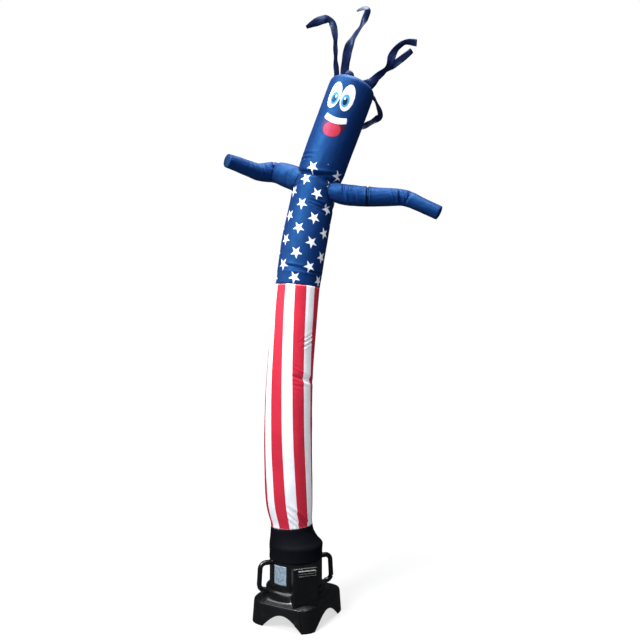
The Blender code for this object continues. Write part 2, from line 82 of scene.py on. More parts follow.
# Stars. A column winds by so many degrees a metre, and jumps on at the neck.
STAR_COLUMNS = 10
STAR_PITCH = 0.245
STAR_REACH = 0.064
STAR_TILT = 0.17
FIRST_STAR = 0.0645
LAST_STAR = 1.235
COLUMN_WIND = -19.5
COLUMN_ANGLE, COLUMN_ANGLE_AT = 254.3, 0.43
NECK_LOW, NECK_HIGH = 1.094, 1.106
NECK_JUMP = -25.5

# Face: angles round the head, and metres up the starred cloth
HEAD_ACROSS = 0.474
EYES_ANGLE, EYES_UP, EYES_APART = 256.5, 1.905, 0.070
MOUTH_ANGLE, MOUTH_UP = 263.0, 1.640
MOUTH_WIDE, MOUTH_HIGH = 0.122, 0.150
SMILE_CURVE, LIP_UP = 2.6, 0.052
TEETH_HIGH = 0.060
TONGUE_DOWN, TONGUE_WIDE, TONGUE_HIGH = 0.070, 0.090, 0.074

# Sleeve: the barrel fills it up to here, and its creases fade in above. Its hem is a raised band.
SLEEVE_FILLED_Z = 0.70
SLEEVE_FADE = 0.08
HEM_WIDE = 0.026
HEM_RAISED = 0.0012

# Blower. A joint is the gap between two pieces that meet.
BASE_HALF = 0.355
BASE_DEEPER = 0.036
CORNER_REACH = 0.440
BASE_EDGE_Z = 0.208
BASE_WALL = 0.006
BARREL_WALL = 0.006
PLATE_WALL = 0.0016
JOINT = 0.0003
ROOF_Z = 0.294
ROOF_HOLE_RADIUS = 0.240
ARCH_HALF_SPAN = 0.215
ARCH_HEIGHT = 0.132
ARCH_SHIFT = 0.050
RIB_ANGLE = 57.5
LIP_RADIUS = 0.293
LIP_HEIGHT = 0.018
BARREL_RADIUS = 0.257
BARREL_TOP_Z = 0.692
BOX_REACH = 0.355
BOX_WIDTH = 0.243
BOX_TOP_Z = 0.568
HANDLE_RADIUS = 0.024
HANDLE_REACH = 0.374
HANDLE_ANGLE = math.radians(50)

Ring = namedtuple("Ring", "x y z across lean")
Section = namedtuple("Section", "x y z across")
Fold = namedtuple("Fold", "at angle spread depth width slant")
Crease = namedtuple("Crease", "angle at to_angle to_at depth width")
Turn = namedtuple("Turn", "z degrees")
Twist = namedtuple("Twist", "x y z wide turn")
Oval = namedtuple("Oval", "x y wide high colour")
Place = namedtuple("Place", "place metres shrink", defaults=(1.0,))
Armhole = namedtuple("Armhole", "points metres")
Level = namedtuple("Level", "z half reach round")


def table(kind, rows):
    """Rows whose columns have the names of their kind."""
    return [kind(*row) for row in rows]


# The tall tube from the sleeve's hem to the top of the head. Lean is in degrees towards +X.
SLEEVE_ACROSS = 2 * (BARREL_RADIUS + 0.0024)
SHOULDER_ACROSS = 2 * (BARREL_RADIUS + 0.0040)
TRUNK = table(Ring, [
    (0.000, 0.000, 0.574, SLEEVE_ACROSS, 0),
    (0.000, 0.000, 0.632, SLEEVE_ACROSS, 0),
    (0.000, 0.000, 0.672, SHOULDER_ACROSS, 0),
    (0.000, 0.000, 0.706, SHOULDER_ACROSS, 0),
    (-0.020, 0.000, 0.745, 0.475, -2),
    (-0.038, 0.000, 0.812, 0.428, -4),
    (-0.043, 0.000, 0.880, 0.413, -3),
    (-0.046, -0.008, 0.925, 0.411, -3),
    (-0.057, -0.020, 1.020, 0.438, -4),
    (-0.066, -0.030, 1.130, 0.457, -3),
    (-0.073, -0.045, 1.360, 0.468, -2),
    (-0.077, -0.070, 1.710, 0.470, 0),
    (-0.070, -0.080, 2.100, 0.463, 2),
    (-0.057, -0.070, 2.390, 0.454, 3),
    (-0.036, -0.050, 2.690, 0.450, 4),
    (-0.012, -0.020, 2.990, 0.452, 5),
    (0.012, 0.000, 3.227, 0.444, 5),
    (0.036, 0.010, 3.395, 0.452, 7),
    (0.060, 0.020, 3.560, 0.457, 9),
    (0.088, 0.032, 3.730, 0.458, 10),
    (0.120, 0.043, 3.900, 0.452, 11),
    (0.154, 0.050, 4.070, 0.449, 12),
    (0.184, 0.052, 4.205, 0.452, 14),
    (0.205, 0.052, 4.280, 0.454, 15),
    (0.222, 0.052, 4.330, 0.456, 17),
    (0.240, 0.050, 4.380, 0.462, 18),
    (0.263, 0.047, 4.440, 0.470, 19),
    (0.309, 0.040, 4.570, 0.473, 20),
    (0.407, 0.022, 4.825, 0.474, 20),
    (0.509, 0.002, 5.100, 0.475, 20),
    (0.556, -0.008, 5.228, 0.470, 20),
    (0.569, -0.010, 5.260, 0.440, 20),
    (0.577, -0.012, 5.283, 0.366, 20),
    (0.5805, -0.0125, 5.292, 0.236, 20),
    (0.582, -0.013, 5.296, 0.000, 20),
])
HEM, SLEEVE_SEAM, STAR_SEAM, TRUNK_TOP = 0, 6, 16, len(TRUNK) - 1

# Folds: height, middle and half width in degrees, depth, tallness and climb over one turn.
TRUNK_FOLDS = table(Fold, [
    (4.314, 250, 130, 0.046, 0.018, -0.02),
    (4.285, 310, 45, 0.024, 0.022, 0.06),
    (4.040, 330, 50, 0.014, 0.022, 0.20),
    (2.322, 326, 46, 0.020, 0.022, -0.36),
])

# Sharp creases from one angle and height to another, with depth and width in metres.
TRUNK_CREASES = table(Crease, [
    (281, 2.345, 334, 2.284, 0.018, 0.013),
    (281, 2.448, 306, 2.404, 0.005, 0.008),
    (281, 2.405, 308, 2.362, 0.006, 0.008),
    (283, 2.372, 304, 2.346, 0.005, 0.007),
    (280, 2.303, 309, 2.288, 0.006, 0.008),
    (280, 2.262, 310, 2.240, 0.005, 0.008),
    (282, 2.222, 304, 2.204, 0.003, 0.007),
    (306, 2.320, 334, 2.342, 0.006, 0.009),
    (300, 2.700, 334, 2.775, 0.007, 0.009),
    (300, 2.664, 334, 2.738, 0.010, 0.010),
    (301, 2.626, 336, 2.694, 0.010, 0.010),
    (288, 2.664, 301, 2.694, 0.004, 0.008),
    (274, 1.088, 320, 0.904, 0.024, 0.013),
    (268, 1.040, 296, 0.902, 0.020, 0.011),
    (287, 1.055, 318, 0.930, 0.014, 0.010),
    (262, 1.002, 281, 0.905, 0.014, 0.010),
    (278, 1.050, 306, 0.915, 0.014, 0.010),
    (318, 1.030, 346, 0.930, 0.007, 0.010),
    (208, 3.404, 286, 3.387, 0.017, 0.011),
    (214, 3.374, 344, 3.362, 0.013, 0.010),
    (267, 4.064, 330, 4.034, 0.013, 0.012),
    (270, 4.030, 328, 3.990, 0.012, 0.011),
    (265, 4.098, 298, 4.084, 0.009, 0.010),
    (280, 3.995, 330, 3.952, 0.009, 0.010),
    (203, 4.178, 236, 4.216, 0.008, 0.010),
    (200, 4.140, 226, 4.168, 0.007, 0.010),
    (186, 4.476, 240, 4.484, 0.008, 0.010),
    (192, 4.430, 236, 4.444, 0.010, 0.010),
    (200, 4.312, 262, 4.312, 0.014, 0.011),
    (258, 4.312, 300, 4.350, 0.022, 0.013),
    (296, 4.350, 356, 4.406, 0.018, 0.013),
])

ARM_LEFT = table(Section, [
    (0.108, 0.056, 4.264, 0.274),
    (0.046, 0.072, 4.308, 0.262),
    (-0.016, 0.094, 4.344, 0.250),
    (-0.105, 0.132, 4.387, 0.240),
    (-0.196, 0.168, 4.425, 0.224),
    (-0.260, 0.182, 4.436, 0.208),
    (-0.320, 0.160, 4.430, 0.196),
    (-0.400, 0.104, 4.418, 0.174),
    (-0.480, 0.040, 4.430, 0.160),
    (-0.569, -0.032, 4.447, 0.150),
    (-0.684, -0.127, 4.465, 0.136),
])
ARM_LEFT_FOLDS = table(Fold, [
    (2.3, 270, 70, 0.012, 0.28, 0.4),
    (4.3, 300, 90, 0.024, 0.30, -0.8),
    (5.4, 255, 80, 0.018, 0.28, 0.6),
])
ARM_LEFT_CREASES = table(Crease, [
    (330, 0.330, 262, 0.470, 0.014, 0.012),
    (350, 0.420, 250, 0.400, 0.010, 0.012),
    (318, 0.560, 232, 0.500, 0.014, 0.013),
    (330, 0.610, 262, 0.555, 0.009, 0.010),
    (300, 0.640, 220, 0.600, 0.010, 0.011),
    (345, 0.720, 280, 0.690, 0.005, 0.009),
    (330, 0.760, 270, 0.735, 0.004, 0.009),
])
ARM_RIGHT = table(Section, [
    (0.248, -0.015, 4.196, 0.200),
    (0.318, -0.036, 4.178, 0.190),
    (0.375, -0.058, 4.165, 0.190),
    (0.460, -0.078, 4.141, 0.202),
    (0.554, -0.092, 4.125, 0.208),
    (0.711, -0.110, 4.108, 0.196),
    (0.906, -0.132, 4.098, 0.177),
    (1.000, -0.142, 4.095, 0.168),
    (1.070, -0.152, 4.084, 0.159),
    (1.140, -0.170, 4.054, 0.149),
    (1.213, -0.190, 4.013, 0.142),
    (1.299, -0.212, 3.966, 0.139),
    (1.391, -0.235, 3.915, 0.137),
])
ARM_RIGHT_FOLDS = table(Fold, [
    (3.2, 90, 80, 0.012, 0.30, 0.5),
    (7.6, 100, 100, 0.018, 0.30, 0.5),
    (8.5, 80, 80, 0.012, 0.28, -0.5),
])
ARM_RIGHT_CREASES = table(Crease, [
    (30, 0.225, 118, 0.272, 0.014, 0.011),
    (52, 0.270, 138, 0.322, 0.014, 0.011),
    (24, 0.302, 86, 0.346, 0.010, 0.010),
    (70, 0.352, 140, 0.382, 0.009, 0.010),
    (0, 0.474, 150, 0.490, 0.018, 0.010),
    (36, 0.720, 128, 0.762, 0.010, 0.010),
    (52, 0.790, 150, 0.806, 0.016, 0.011),
    (28, 0.824, 112, 0.872, 0.012, 0.010),
    (62, 0.900, 150, 0.880, 0.009, 0.010),
])
# Painted shade: a dark band across the right arm over its deepest crease, as metres along the arm.
ARM_PAINTED_SHADE = (0.466, 0.498)

# The middle of the brightest white stripe: height, angle.
STRIPE_TURN = table(Turn, [
    (0.30, 283.0),
    (0.89, 280.0),
    (1.91, 270.3),
    (2.15, 268.2),
    (3.22, 253.5),
    (3.60, 248.5),
])

# Ribbons sewn to the top of the head, a row for each bend. Turn is in degrees, 0 face on.
RIBBONS = {
    "hair_1": table(Twist, [
        (0.415, -0.030, 5.290, 0.074, 20),
        (0.405, -0.040, 5.410, 0.070, 35),
        (0.392, -0.055, 5.560, 0.068, 50),
        (0.387, -0.060, 5.720, 0.068, 42),
        (0.374, -0.055, 5.860, 0.074, 5),
        (0.330, -0.040, 5.940, 0.066, -50),
        (0.270, -0.020, 5.955, 0.086, -15),
        (0.190, 0.010, 5.940, 0.078, -25),
        (0.095, 0.040, 5.905, 0.032, -50),
    ]),
    "hair_2": table(Twist, [
        (0.497, 0.030, 5.270, 0.076, -10),
        (0.488, 0.030, 5.390, 0.090, 15),
        (0.500, 0.020, 5.540, 0.092, 20),
        (0.530, 0.010, 5.680, 0.090, 5),
        (0.590, -0.010, 5.790, 0.070, -38),
        (0.655, -0.030, 5.885, 0.066, -40),
        (0.707, -0.045, 5.985, 0.066, 15),
        (0.722, -0.050, 6.045, 0.068, 30),
        (0.680, -0.030, 6.068, 0.070, 25),
        (0.613, 0.000, 6.052, 0.018, 20),
    ]),
    "hair_3": table(Twist, [
        (0.490, -0.110, 5.262, 0.052, 0),
        (0.503, -0.135, 5.312, 0.058, 0),
        (0.524, -0.150, 5.342, 0.058, -10),
        (0.549, -0.150, 5.322, 0.054, -10),
        (0.552, -0.140, 5.272, 0.046, 0),
    ]),
    "hair_4": table(Twist, [
        (0.600, -0.070, 5.232, 0.070, 50),
        (0.670, -0.060, 5.262, 0.078, 30),
        (0.755, -0.045, 5.303, 0.074, 8),
        (0.830, -0.045, 5.362, 0.074, 25),
        (0.893, -0.045, 5.418, 0.068, 62),
        (0.940, -0.045, 5.490, 0.088, 35),
        (0.968, -0.045, 5.570, 0.080, 10),
        (1.022, -0.045, 5.652, 0.062, 35),
        (1.112, -0.035, 5.712, 0.055, 40),
        (1.222, -0.020, 5.712, 0.076, 5),
    ]),
    "hair_5": table(Twist, [
        (0.665, 0.060, 5.215, 0.074, 15),
        (0.750, 0.060, 5.293, 0.072, 20),
        (0.835, 0.055, 5.380, 0.070, 60),
        (0.910, 0.050, 5.455, 0.068, 85),
        (0.995, 0.045, 5.516, 0.070, 20),
        (1.090, 0.045, 5.588, 0.068, 10),
        (1.182, 0.050, 5.668, 0.056, 25),
    ]),
    "hair_6": table(Twist, [
        (0.690, 0.030, 5.200, 0.072, -20),
        (0.775, 0.070, 5.196, 0.068, -35),
        (0.828, 0.110, 5.125, 0.066, -45),
        (0.860, 0.150, 5.026, 0.066, -20),
        (0.800, 0.190, 4.982, 0.080, 25),
        (0.720, 0.235, 4.950, 0.084, 30),
        (0.650, 0.280, 4.935, 0.080, 45),
    ]),
}


def add_object(name, data):
    made = bpy.data.objects.new(name, data)
    bpy.context.scene.collection.objects.link(made)
    return made


# Camera
def add_camera():
    lens = bpy.data.cameras.new("camera")
    lens.sensor_width = 36.0
    lens.lens = FOCAL_PIXELS / PHOTO_PIXELS * lens.sensor_width
    camera = add_object("camera", lens)
    camera.location = (ROOT_X + CAMERA_RIGHT, ROOT_Y - CAMERA_BACK, CAMERA_HEIGHT)
    camera.rotation_euler = (math.pi / 2 + math.atan(HORIZON_DROP_PIXELS / FOCAL_PIXELS), 0, 0)
    bpy.context.scene.camera = camera


# Shader nodes
class Graph:
    """Adds nodes to a shader tree and joins them."""

    def __init__(self, tree):
        self.tree = tree

    def node(self, kind, **settings):
        made = self.tree.nodes.new(kind)
        for name, value in settings.items():
            setattr(made, name, value)
        return made

    def feed(self, socket, value):
        if isinstance(value, bpy.types.NodeSocket):
            self.tree.links.new(value, socket)
        else:
            socket.default_value = value

    def math(self, operation, first, second=0.0, third=0.0):
        made = self.node("ShaderNodeMath", operation=operation)
        for socket, value in zip(made.inputs, (first, second, third)):
            self.feed(socket, value)
        return made.outputs[0]

    def plus(self, first, second):
        return self.math("ADD", first, second)

    def minus(self, first, second):
        return self.math("SUBTRACT", first, second)

    def times(self, first, second):
        return self.math("MULTIPLY", first, second)

    def square(self, value):
        return self.math("POWER", self.math("ABSOLUTE", value), 2.0)

    def distance(self, x, y):
        return self.math("SQRT", self.plus(self.square(x), self.square(y)))

    def mix(self, factor, first, second, blend="MIX"):
        made = self.node("ShaderNodeMix", data_type="RGBA", blend_type=blend)
        self.feed(made.inputs["Factor"], factor)
        self.feed(made.inputs["A"], first)
        self.feed(made.inputs["B"], second)
        return made.outputs["Result"]

    def fit(self, value, low, high, to_low=0.0, to_high=1.0):
        made = self.node("ShaderNodeMapRange", interpolation_type="SMOOTHSTEP")
        for name, number in (("Value", value), ("From Min", low), ("From Max", high),
                             ("To Min", to_low), ("To Max", to_high)):
            self.feed(made.inputs[name], number)
        return made.outputs["Result"]

    def noise(self, vector, scale, detail=2.0, roughness=0.5):
        made = self.node("ShaderNodeTexNoise")
        self.feed(made.inputs["Vector"], vector)
        self.feed(made.inputs["Scale"], scale)
        self.feed(made.inputs["Detail"], detail)
        self.feed(made.inputs["Roughness"], roughness)
        return made.outputs["Fac"]

    def join(self, x, y, z=0.0):
        made = self.node("ShaderNodeCombineXYZ")
        for socket, value in zip(made.inputs, (x, y, z)):
            self.feed(socket, value)
        return made.outputs[0]

    def split(self, vector):
        made = self.node("ShaderNodeSeparateXYZ")
        self.feed(made.inputs[0], vector)
        return made.outputs

    def group(self, tree, **values):
        made = self.node("ShaderNodeGroup", node_tree=tree)
        for name, value in values.items():
            self.feed(made.inputs[name.replace("_", " ")], value)
        return made.outputs


def shader_group(name, inputs, outputs):
    """An empty shader node group, its graph, and its inputs and outputs."""
    tree = bpy.data.node_groups.new(name, "ShaderNodeTree")
    for socket_name, kind in inputs:
        tree.interface.new_socket(socket_name, in_out="INPUT", socket_type=kind)
    for socket_name, kind in outputs:
        tree.interface.new_socket(socket_name, in_out="OUTPUT", socket_type=kind)
    graph = Graph(tree)
    return tree, graph, graph.node("NodeGroupInput").outputs, graph.node("NodeGroupOutput").inputs


FLOAT, COLOUR = "NodeSocketFloat", "NodeSocketColor"


def coated_cloth_group():
    """Thin coated cloth: slight unevenness of colour and gloss, fine weave, long soft ripples."""
    tree, graph, given, out = shader_group(
        "coated cloth",
        [("Colour", COLOUR), ("Around", FLOAT), ("Along", FLOAT), ("Gloss", FLOAT), ("Ripple", FLOAT)],
        [("Colour", COLOUR), ("Roughness", FLOAT), ("Height", FLOAT)],
    )
    thread_beat, weave_height, crinkle_height = 4200.0, 0.00002, 0.0007
    place = graph.node("ShaderNodeTexCoord").outputs["Object"]
    tone = graph.fit(graph.noise(place, scale=4.0, detail=3.0), 0.3, 0.7, 0.90, 1.06)
    grey_tone = graph.join(tone, tone, tone)
    graph.feed(out["Colour"], graph.mix(1.0, given["Colour"], grey_tone, "MULTIPLY"))
    unevenness = graph.fit(graph.noise(place, scale=14.0, detail=3.0), 0.3, 0.7, -0.05, 0.06)
    graph.feed(out["Roughness"], graph.plus(given["Gloss"], unevenness))
    across = graph.times(given["Around"], TUBE_CIRCUMFERENCE)
    warp = graph.math("SINE", graph.times(across, thread_beat))
    weft = graph.math("SINE", graph.times(given["Along"], thread_beat))
    weave = graph.times(graph.times(warp, weft), weave_height)
    stretched = graph.join(across, graph.times(given["Along"], 0.3))
    ripple = graph.times(graph.noise(stretched, scale=9.0, detail=3.0), given["Ripple"])
    crinkle = graph.times(graph.noise(place, scale=34.0, detail=3.0), crinkle_height)
    graph.feed(out["Height"], graph.plus(weave, graph.plus(ripple, crinkle)))
    return tree


def stitch_group():
    """Two rows of thread beside a seam. Along seam and From seam are metres."""
    tree, graph, given, out = shader_group(
        "stitches", [("Along seam", FLOAT), ("From seam", FLOAT)], [("Mask", FLOAT), ("Height", FLOAT)]
    )
    row_from_seam, stitch_long, thread_raised = 0.008, 0.008, 0.0005
    groove_half, groove_deep = 0.004, 0.0012
    away = graph.math("ABSOLUTE", given["From seam"])
    off_row = graph.math("ABSOLUTE", graph.minus(away, row_from_seam))
    row = graph.fit(off_row, 0.0008, 0.0016, 1.0, 0.0)
    beat = graph.math("FRACT", graph.math("DIVIDE", given["Along seam"], stitch_long))
    thread = graph.times(row, graph.fit(beat, 0.60, 0.72, 1.0, 0.0))
    graph.feed(out["Mask"], thread)
    groove = graph.fit(away, 0.0, groove_half, -groove_deep, 0.0)
    graph.feed(out["Height"], graph.math("MULTIPLY_ADD", thread, thread_raised, groove))
    return tree


def star_group():
    """A five point star with one point down. X and Y are metres from its middle."""
    tree, graph, given, out = shader_group(
        "five point star", [("X", FLOAT), ("Y", FLOAT), ("Reach", FLOAT)], [("Mask", FLOAT)]
    )
    far = graph.distance(given["X"], given["Y"])
    angle = graph.math("ARCTAN2", given["X"], graph.times(given["Y"], -1.0))
    folded = graph.math("PINGPONG", angle, math.pi / 5)
    x = graph.times(far, graph.math("COSINE", folded))
    y = graph.times(far, graph.math("SINE", folded))
    waist = 0.40
    edge = Vector((waist * math.cos(math.pi / 5) - 1, waist * math.sin(math.pi / 5))).normalized()
    from_tip = graph.minus(x, given["Reach"])
    across = graph.plus(graph.times(from_tip, edge.y), graph.times(y, -edge.x))
    blur = 0.0012
    graph.feed(out["Mask"], graph.fit(across, -blur, blur, 1.0, 0.0))
    return tree


def oval_group():
    """An oval. X and Y are metres from its middle, Wide and High its half sizes."""
    tree, graph, given, out = shader_group(
        "oval",
        [("X", FLOAT), ("Y", FLOAT), ("Wide", FLOAT), ("High", FLOAT)],
        [("Mask", FLOAT)],
    )
    out_from_middle = graph.plus(
        graph.square(graph.math("DIVIDE", given["X"], given["Wide"])),
        graph.square(graph.math("DIVIDE", given["Y"], given["High"])),
    )
    graph.feed(out["Mask"], graph.fit(out_from_middle, 0.96, 1.04, 1.0, 0.0))
    return tree


def moulded_plastic_group():
    """Black moulded plastic: fine grain, dust in patches, uneven gloss."""
    tree, graph, given, out = shader_group(
        "moulded plastic",
        [("Colour", COLOUR), ("Gloss", FLOAT)],
        [("Colour", COLOUR), ("Roughness", FLOAT), ("Height", FLOAT)],
    )
    dust_colour, dust_share = (0.006, 0.006, 0.006, 1.0), 0.5
    unevenness, grain_height, wave_height = 0.16, 0.000015, 0.0005
    place = graph.node("ShaderNodeTexCoord").outputs["Object"]
    dust = graph.fit(graph.noise(place, scale=7.0, detail=5.0, roughness=0.6), 0.50, 0.75)
    dusty = graph.mix(1.0, given["Colour"], dust_colour, "ADD")
    graph.feed(out["Colour"], graph.mix(graph.times(dust, dust_share), given["Colour"], dusty))
    patches = graph.noise(place, scale=30.0, detail=3.0)
    graph.feed(out["Roughness"], graph.math("MULTIPLY_ADD", patches, unevenness, given["Gloss"]))
    grain = graph.noise(place, scale=900.0)
    waves = graph.times(graph.noise(place, scale=9.0), wave_height)
    graph.feed(out["Height"], graph.math("MULTIPLY_ADD", grain, grain_height, waves))
    return tree


COATED_CLOTH = coated_cloth_group()
STITCHES = stitch_group()
STAR = star_group()
OVAL = oval_group()
MOULDED_PLASTIC = moulded_plastic_group()

BLUE = (0.0028, 0.0155, 0.094, 1.0)
# Dark blue: seam cloth, threads and the eyes' printed outline, and painted shade on the arms.
DARK_BLUE = (0.003, 0.008, 0.040, 1.0)
WHITE = (0.78, 0.79, 0.86, 1.0)
RED = (0.50, 0.018, 0.042, 1.0)
BLACK = (0.003, 0.003, 0.0055, 1.0)
NAVY = (0.004, 0.009, 0.045, 1.0)
EYE_BLUE = (0.050, 0.250, 0.550, 1.0)
MOUTH = (0.060, 0.003, 0.010, 1.0)
TONGUE = (0.430, 0.012, 0.006, 1.0)
BLACK_THREAD = (0.01, 0.01, 0.016, 1.0)
PLASTIC_BLACK = (0.0016, 0.0020, 0.0028, 1.0)
COATING = (0.55, 0.78, 1.0, 1.0)
PALE_COATING = (0.9, 0.92, 1.0, 1.0)
BLUE_SHEEN = (0.06, 0.42, 1.0, 1.0)

# Each eye, painted in this order. X runs out from its middle towards the side of the head.
EYE_OVALS = table(Oval, [
    (0.000, 0.000, 0.074, 0.142, DARK_BLUE),
    (0.000, 0.000, 0.067, 0.134, WHITE),
    (-0.012, -0.034, 0.041, 0.066, EYE_BLUE),
    (-0.012, -0.040, 0.023, 0.040, BLACK),
    (-0.022, -0.012, 0.009, 0.014, WHITE),
])


def new_material(name, specular=0.5):
    """A material, its graph, and its shader's sockets."""
    made = bpy.data.materials.new(name)
    made.use_nodes = True
    sockets = made.node_tree.nodes["Principled BSDF"].inputs
    sockets["Specular IOR Level"].default_value = specular
    return made, Graph(made.node_tree), sockets


def add_bump(graph, sockets, height):
    bump = graph.node("ShaderNodeBump")
    bump.inputs["Strength"].default_value = 1.0
    bump.inputs["Distance"].default_value = 1.0
    graph.feed(bump.inputs["Height"], height)
    graph.feed(sockets["Normal"], bump.outputs[0])


def plastic_material(name, colour, gloss, specular):
    """Moulded plastic in a colour, or in a pattern made by a function."""
    made, graph, sockets = new_material(name, specular)
    base = colour(graph) if callable(colour) else colour
    plastic = graph.group(MOULDED_PLASTIC, Colour=base, Gloss=gloss)
    graph.feed(sockets["Base Color"], plastic["Colour"])
    graph.feed(sockets["Roughness"], plastic["Roughness"])
    add_bump(graph, sockets, plastic["Height"])
    return made


def cloth_material(name, colour, gloss, specular, circumference, length, thread=WHITE,
                   tint=COATING, ripple=0.0040):
    """Coated cloth in a colour or a pattern, with stitches at its ends and up its back."""
    made, graph, sockets = new_material(name, specular)
    sockets["Specular Tint"].default_value = tint
    place = graph.split(graph.node("ShaderNodeUVMap", uv_map="cloth").outputs[0])
    around, along = place["X"], place["Y"]
    base = colour(graph, around, along) if callable(colour) else colour
    cloth = graph.group(COATED_CLOTH, Colour=base, Around=around, Along=along, Gloss=gloss, Ripple=ripple)
    metres_round = graph.times(around, circumference)
    from_back = graph.math("PINGPONG", metres_round, circumference / 2)
    from_end = graph.math("PINGPONG", along, length / 2)
    lengthwise = graph.group(STITCHES, Along_seam=along, From_seam=from_back)
    crosswise = graph.group(STITCHES, Along_seam=metres_round, From_seam=from_end)
    mask = graph.math("MAXIMUM", lengthwise["Mask"], crosswise["Mask"])
    graph.feed(sockets["Base Color"], graph.mix(mask, cloth["Colour"], thread))
    graph.feed(sockets["Roughness"], cloth["Roughness"])
    stitches = graph.plus(lengthwise["Height"], crosswise["Height"])
    add_bump(graph, sockets, graph.plus(cloth["Height"], stitches))
    return made


def plate_colour(graph):
    """Pale blue grey, worn in small patches."""
    place = graph.node("ShaderNodeTexCoord").outputs["Object"]
    worn = graph.fit(graph.noise(place, scale=60.0, detail=4.0, roughness=0.6), 0.42, 0.66)
    return graph.mix(worn, (0.24, 0.31, 0.38, 1.0), (0.09, 0.15, 0.20, 1.0))


def stripe_colour(graph, around, along):
    """Red and white stripes, with red at both edges of the panel, which meet at the back."""
    turned = graph.math("MULTIPLY_ADD", around, STRIPES, -0.5)
    return graph.mix(graph.fit(graph.math("PINGPONG", turned, 1.0), 0.525, 0.545), RED, WHITE)


def star_mask(graph, degrees, along):
    """Staggered columns of stars that wind up the tube and turn once more over the neck."""
    start = COLUMN_ANGLE - COLUMN_WIND * COLUMN_ANGLE_AT
    column_angle = graph.math("MULTIPLY_ADD", along, COLUMN_WIND, start)
    neck_turn = graph.fit(along, NECK_LOW, NECK_HIGH, 0.0, NECK_JUMP)
    from_first = graph.minus(degrees, graph.plus(column_angle, neck_turn))
    columns = graph.math("DIVIDE", from_first, 360 / STAR_COLUMNS)
    column = graph.math("ROUND", columns)
    x = graph.times(graph.minus(columns, column), TUBE_CIRCUMFERENCE / STAR_COLUMNS)
    odd = graph.math("PINGPONG", column, 1.0)
    first = graph.math("MULTIPLY_ADD", odd, STAR_PITCH / 2, FIRST_STAR)
    rows = graph.math("DIVIDE", graph.minus(along, first), STAR_PITCH)
    row = graph.math("ROUND", rows)
    y = graph.times(graph.minus(rows, row), STAR_PITCH)
    star = graph.node("ShaderNodeTexWhiteNoise", noise_dimensions="2D")
    graph.feed(star.inputs["Vector"], graph.join(column, row))
    tilt = graph.math("MULTIPLY_ADD", star.outputs["Value"], 2 * STAR_TILT, -STAR_TILT)
    cosine, sine = graph.math("COSINE", tilt), graph.math("SINE", tilt)
    turned_x = graph.minus(graph.times(x, cosine), graph.times(y, sine))
    turned_y = graph.plus(graph.times(x, sine), graph.times(y, cosine))
    mask = graph.group(STAR, X=turned_x, Y=turned_y, Reach=STAR_REACH)["Mask"]
    return graph.times(mask, graph.math("LESS_THAN", along, LAST_STAR))


def face_colour(graph, degrees, along, cloth):
    """A plain smiling face: two oval eyes and an open mouth with teeth and tongue."""
    to_metres = math.pi * HEAD_ACROSS / 360
    blur = 0.001

    def oval(x, y, wide, high):
        return graph.group(OVAL, X=x, Y=y, Wide=wide, High=high)["Mask"]

    eye_x = graph.times(graph.minus(degrees, EYES_ANGLE), to_metres)
    eye_x = graph.minus(graph.math("ABSOLUTE", eye_x), EYES_APART)
    eye_y = graph.minus(along, EYES_UP)
    paint = cloth
    for part in EYE_OVALS:
        mask = oval(graph.minus(eye_x, part.x), graph.minus(eye_y, part.y), part.wide, part.high)
        paint = graph.mix(mask, paint, part.colour)
    mouth_x = graph.times(graph.minus(degrees, MOUTH_ANGLE), to_metres)
    mouth_y = graph.minus(along, MOUTH_UP)
    smile = graph.times(graph.square(mouth_x), SMILE_CURVE)
    below_smile = graph.minus(graph.plus(smile, LIP_UP), mouth_y)
    inside = graph.fit(below_smile, -blur, blur)
    teeth = graph.fit(below_smile, TEETH_HIGH, TEETH_HIGH + 3 * blur, 1.0, 0.0)
    tongue = oval(mouth_x, graph.plus(mouth_y, TONGUE_DOWN), TONGUE_WIDE, TONGUE_HIGH)
    inner = graph.mix(teeth, graph.mix(tongue, MOUTH, TONGUE), WHITE)
    mouth = graph.times(oval(mouth_x, mouth_y, MOUTH_WIDE, MOUTH_HIGH), inside)
    return graph.mix(mouth, paint, inner)


def star_colour(graph, around, along):
    degrees = graph.math("MULTIPLY_ADD", around, 360.0, 90.0)
    starred = graph.mix(star_mask(graph, degrees, along), BLUE, WHITE)
    return face_colour(graph, degrees, along, starred)


def arm_painted_shade_colour(low, high):
    """Blue, and darker between two places along the arm: painted shade."""
    def colour(graph, around, along):
        away = graph.math("ABSOLUTE", graph.minus(along, (low + high) / 2))
        half, blur = (high - low) / 2, 0.001
        return graph.mix(graph.fit(away, half - blur, half + blur, 1.0, 0.0), BLUE, DARK_BLUE)

    return colour


# Cloth shapes
def spline_value(before, start, end, after, t):
    """Catmull-Rom value between start and end."""
    slope_in = (end - before) / 2
    slope_out = (after - start) / 2
    return (
        (2 * t**3 - 3 * t**2 + 1) * start
        + (t**3 - 2 * t**2 + t) * slope_in
        + (3 * t**2 - 2 * t**3) * end
        + (t**3 - t**2) * slope_out
    )


def row_at(rows, place):
    """The row of a table at a place between its rows, on a smooth curve through them."""
    last = len(rows) - 1
    index = min(int(place), last - 1)
    near = [rows[min(max(index + step, 0), last)] for step in (-1, 0, 1, 2)]
    return type(rows[0])(*(spline_value(*values, place - index) for values in zip(*near)))


def centre_of(row):
    return Vector((row.x, row.y, row.z))


def direction_at(rows, place, step=0.05):
    if rows is TRUNK:
        lean = math.radians(row_at(rows, place).lean)
        return Vector((math.sin(lean), 0, math.cos(lean)))
    last = len(rows) - 1
    before = centre_of(row_at(rows, max(place - step, 0)))
    after = centre_of(row_at(rows, min(place + step, last)))
    return (after - before).normalized()


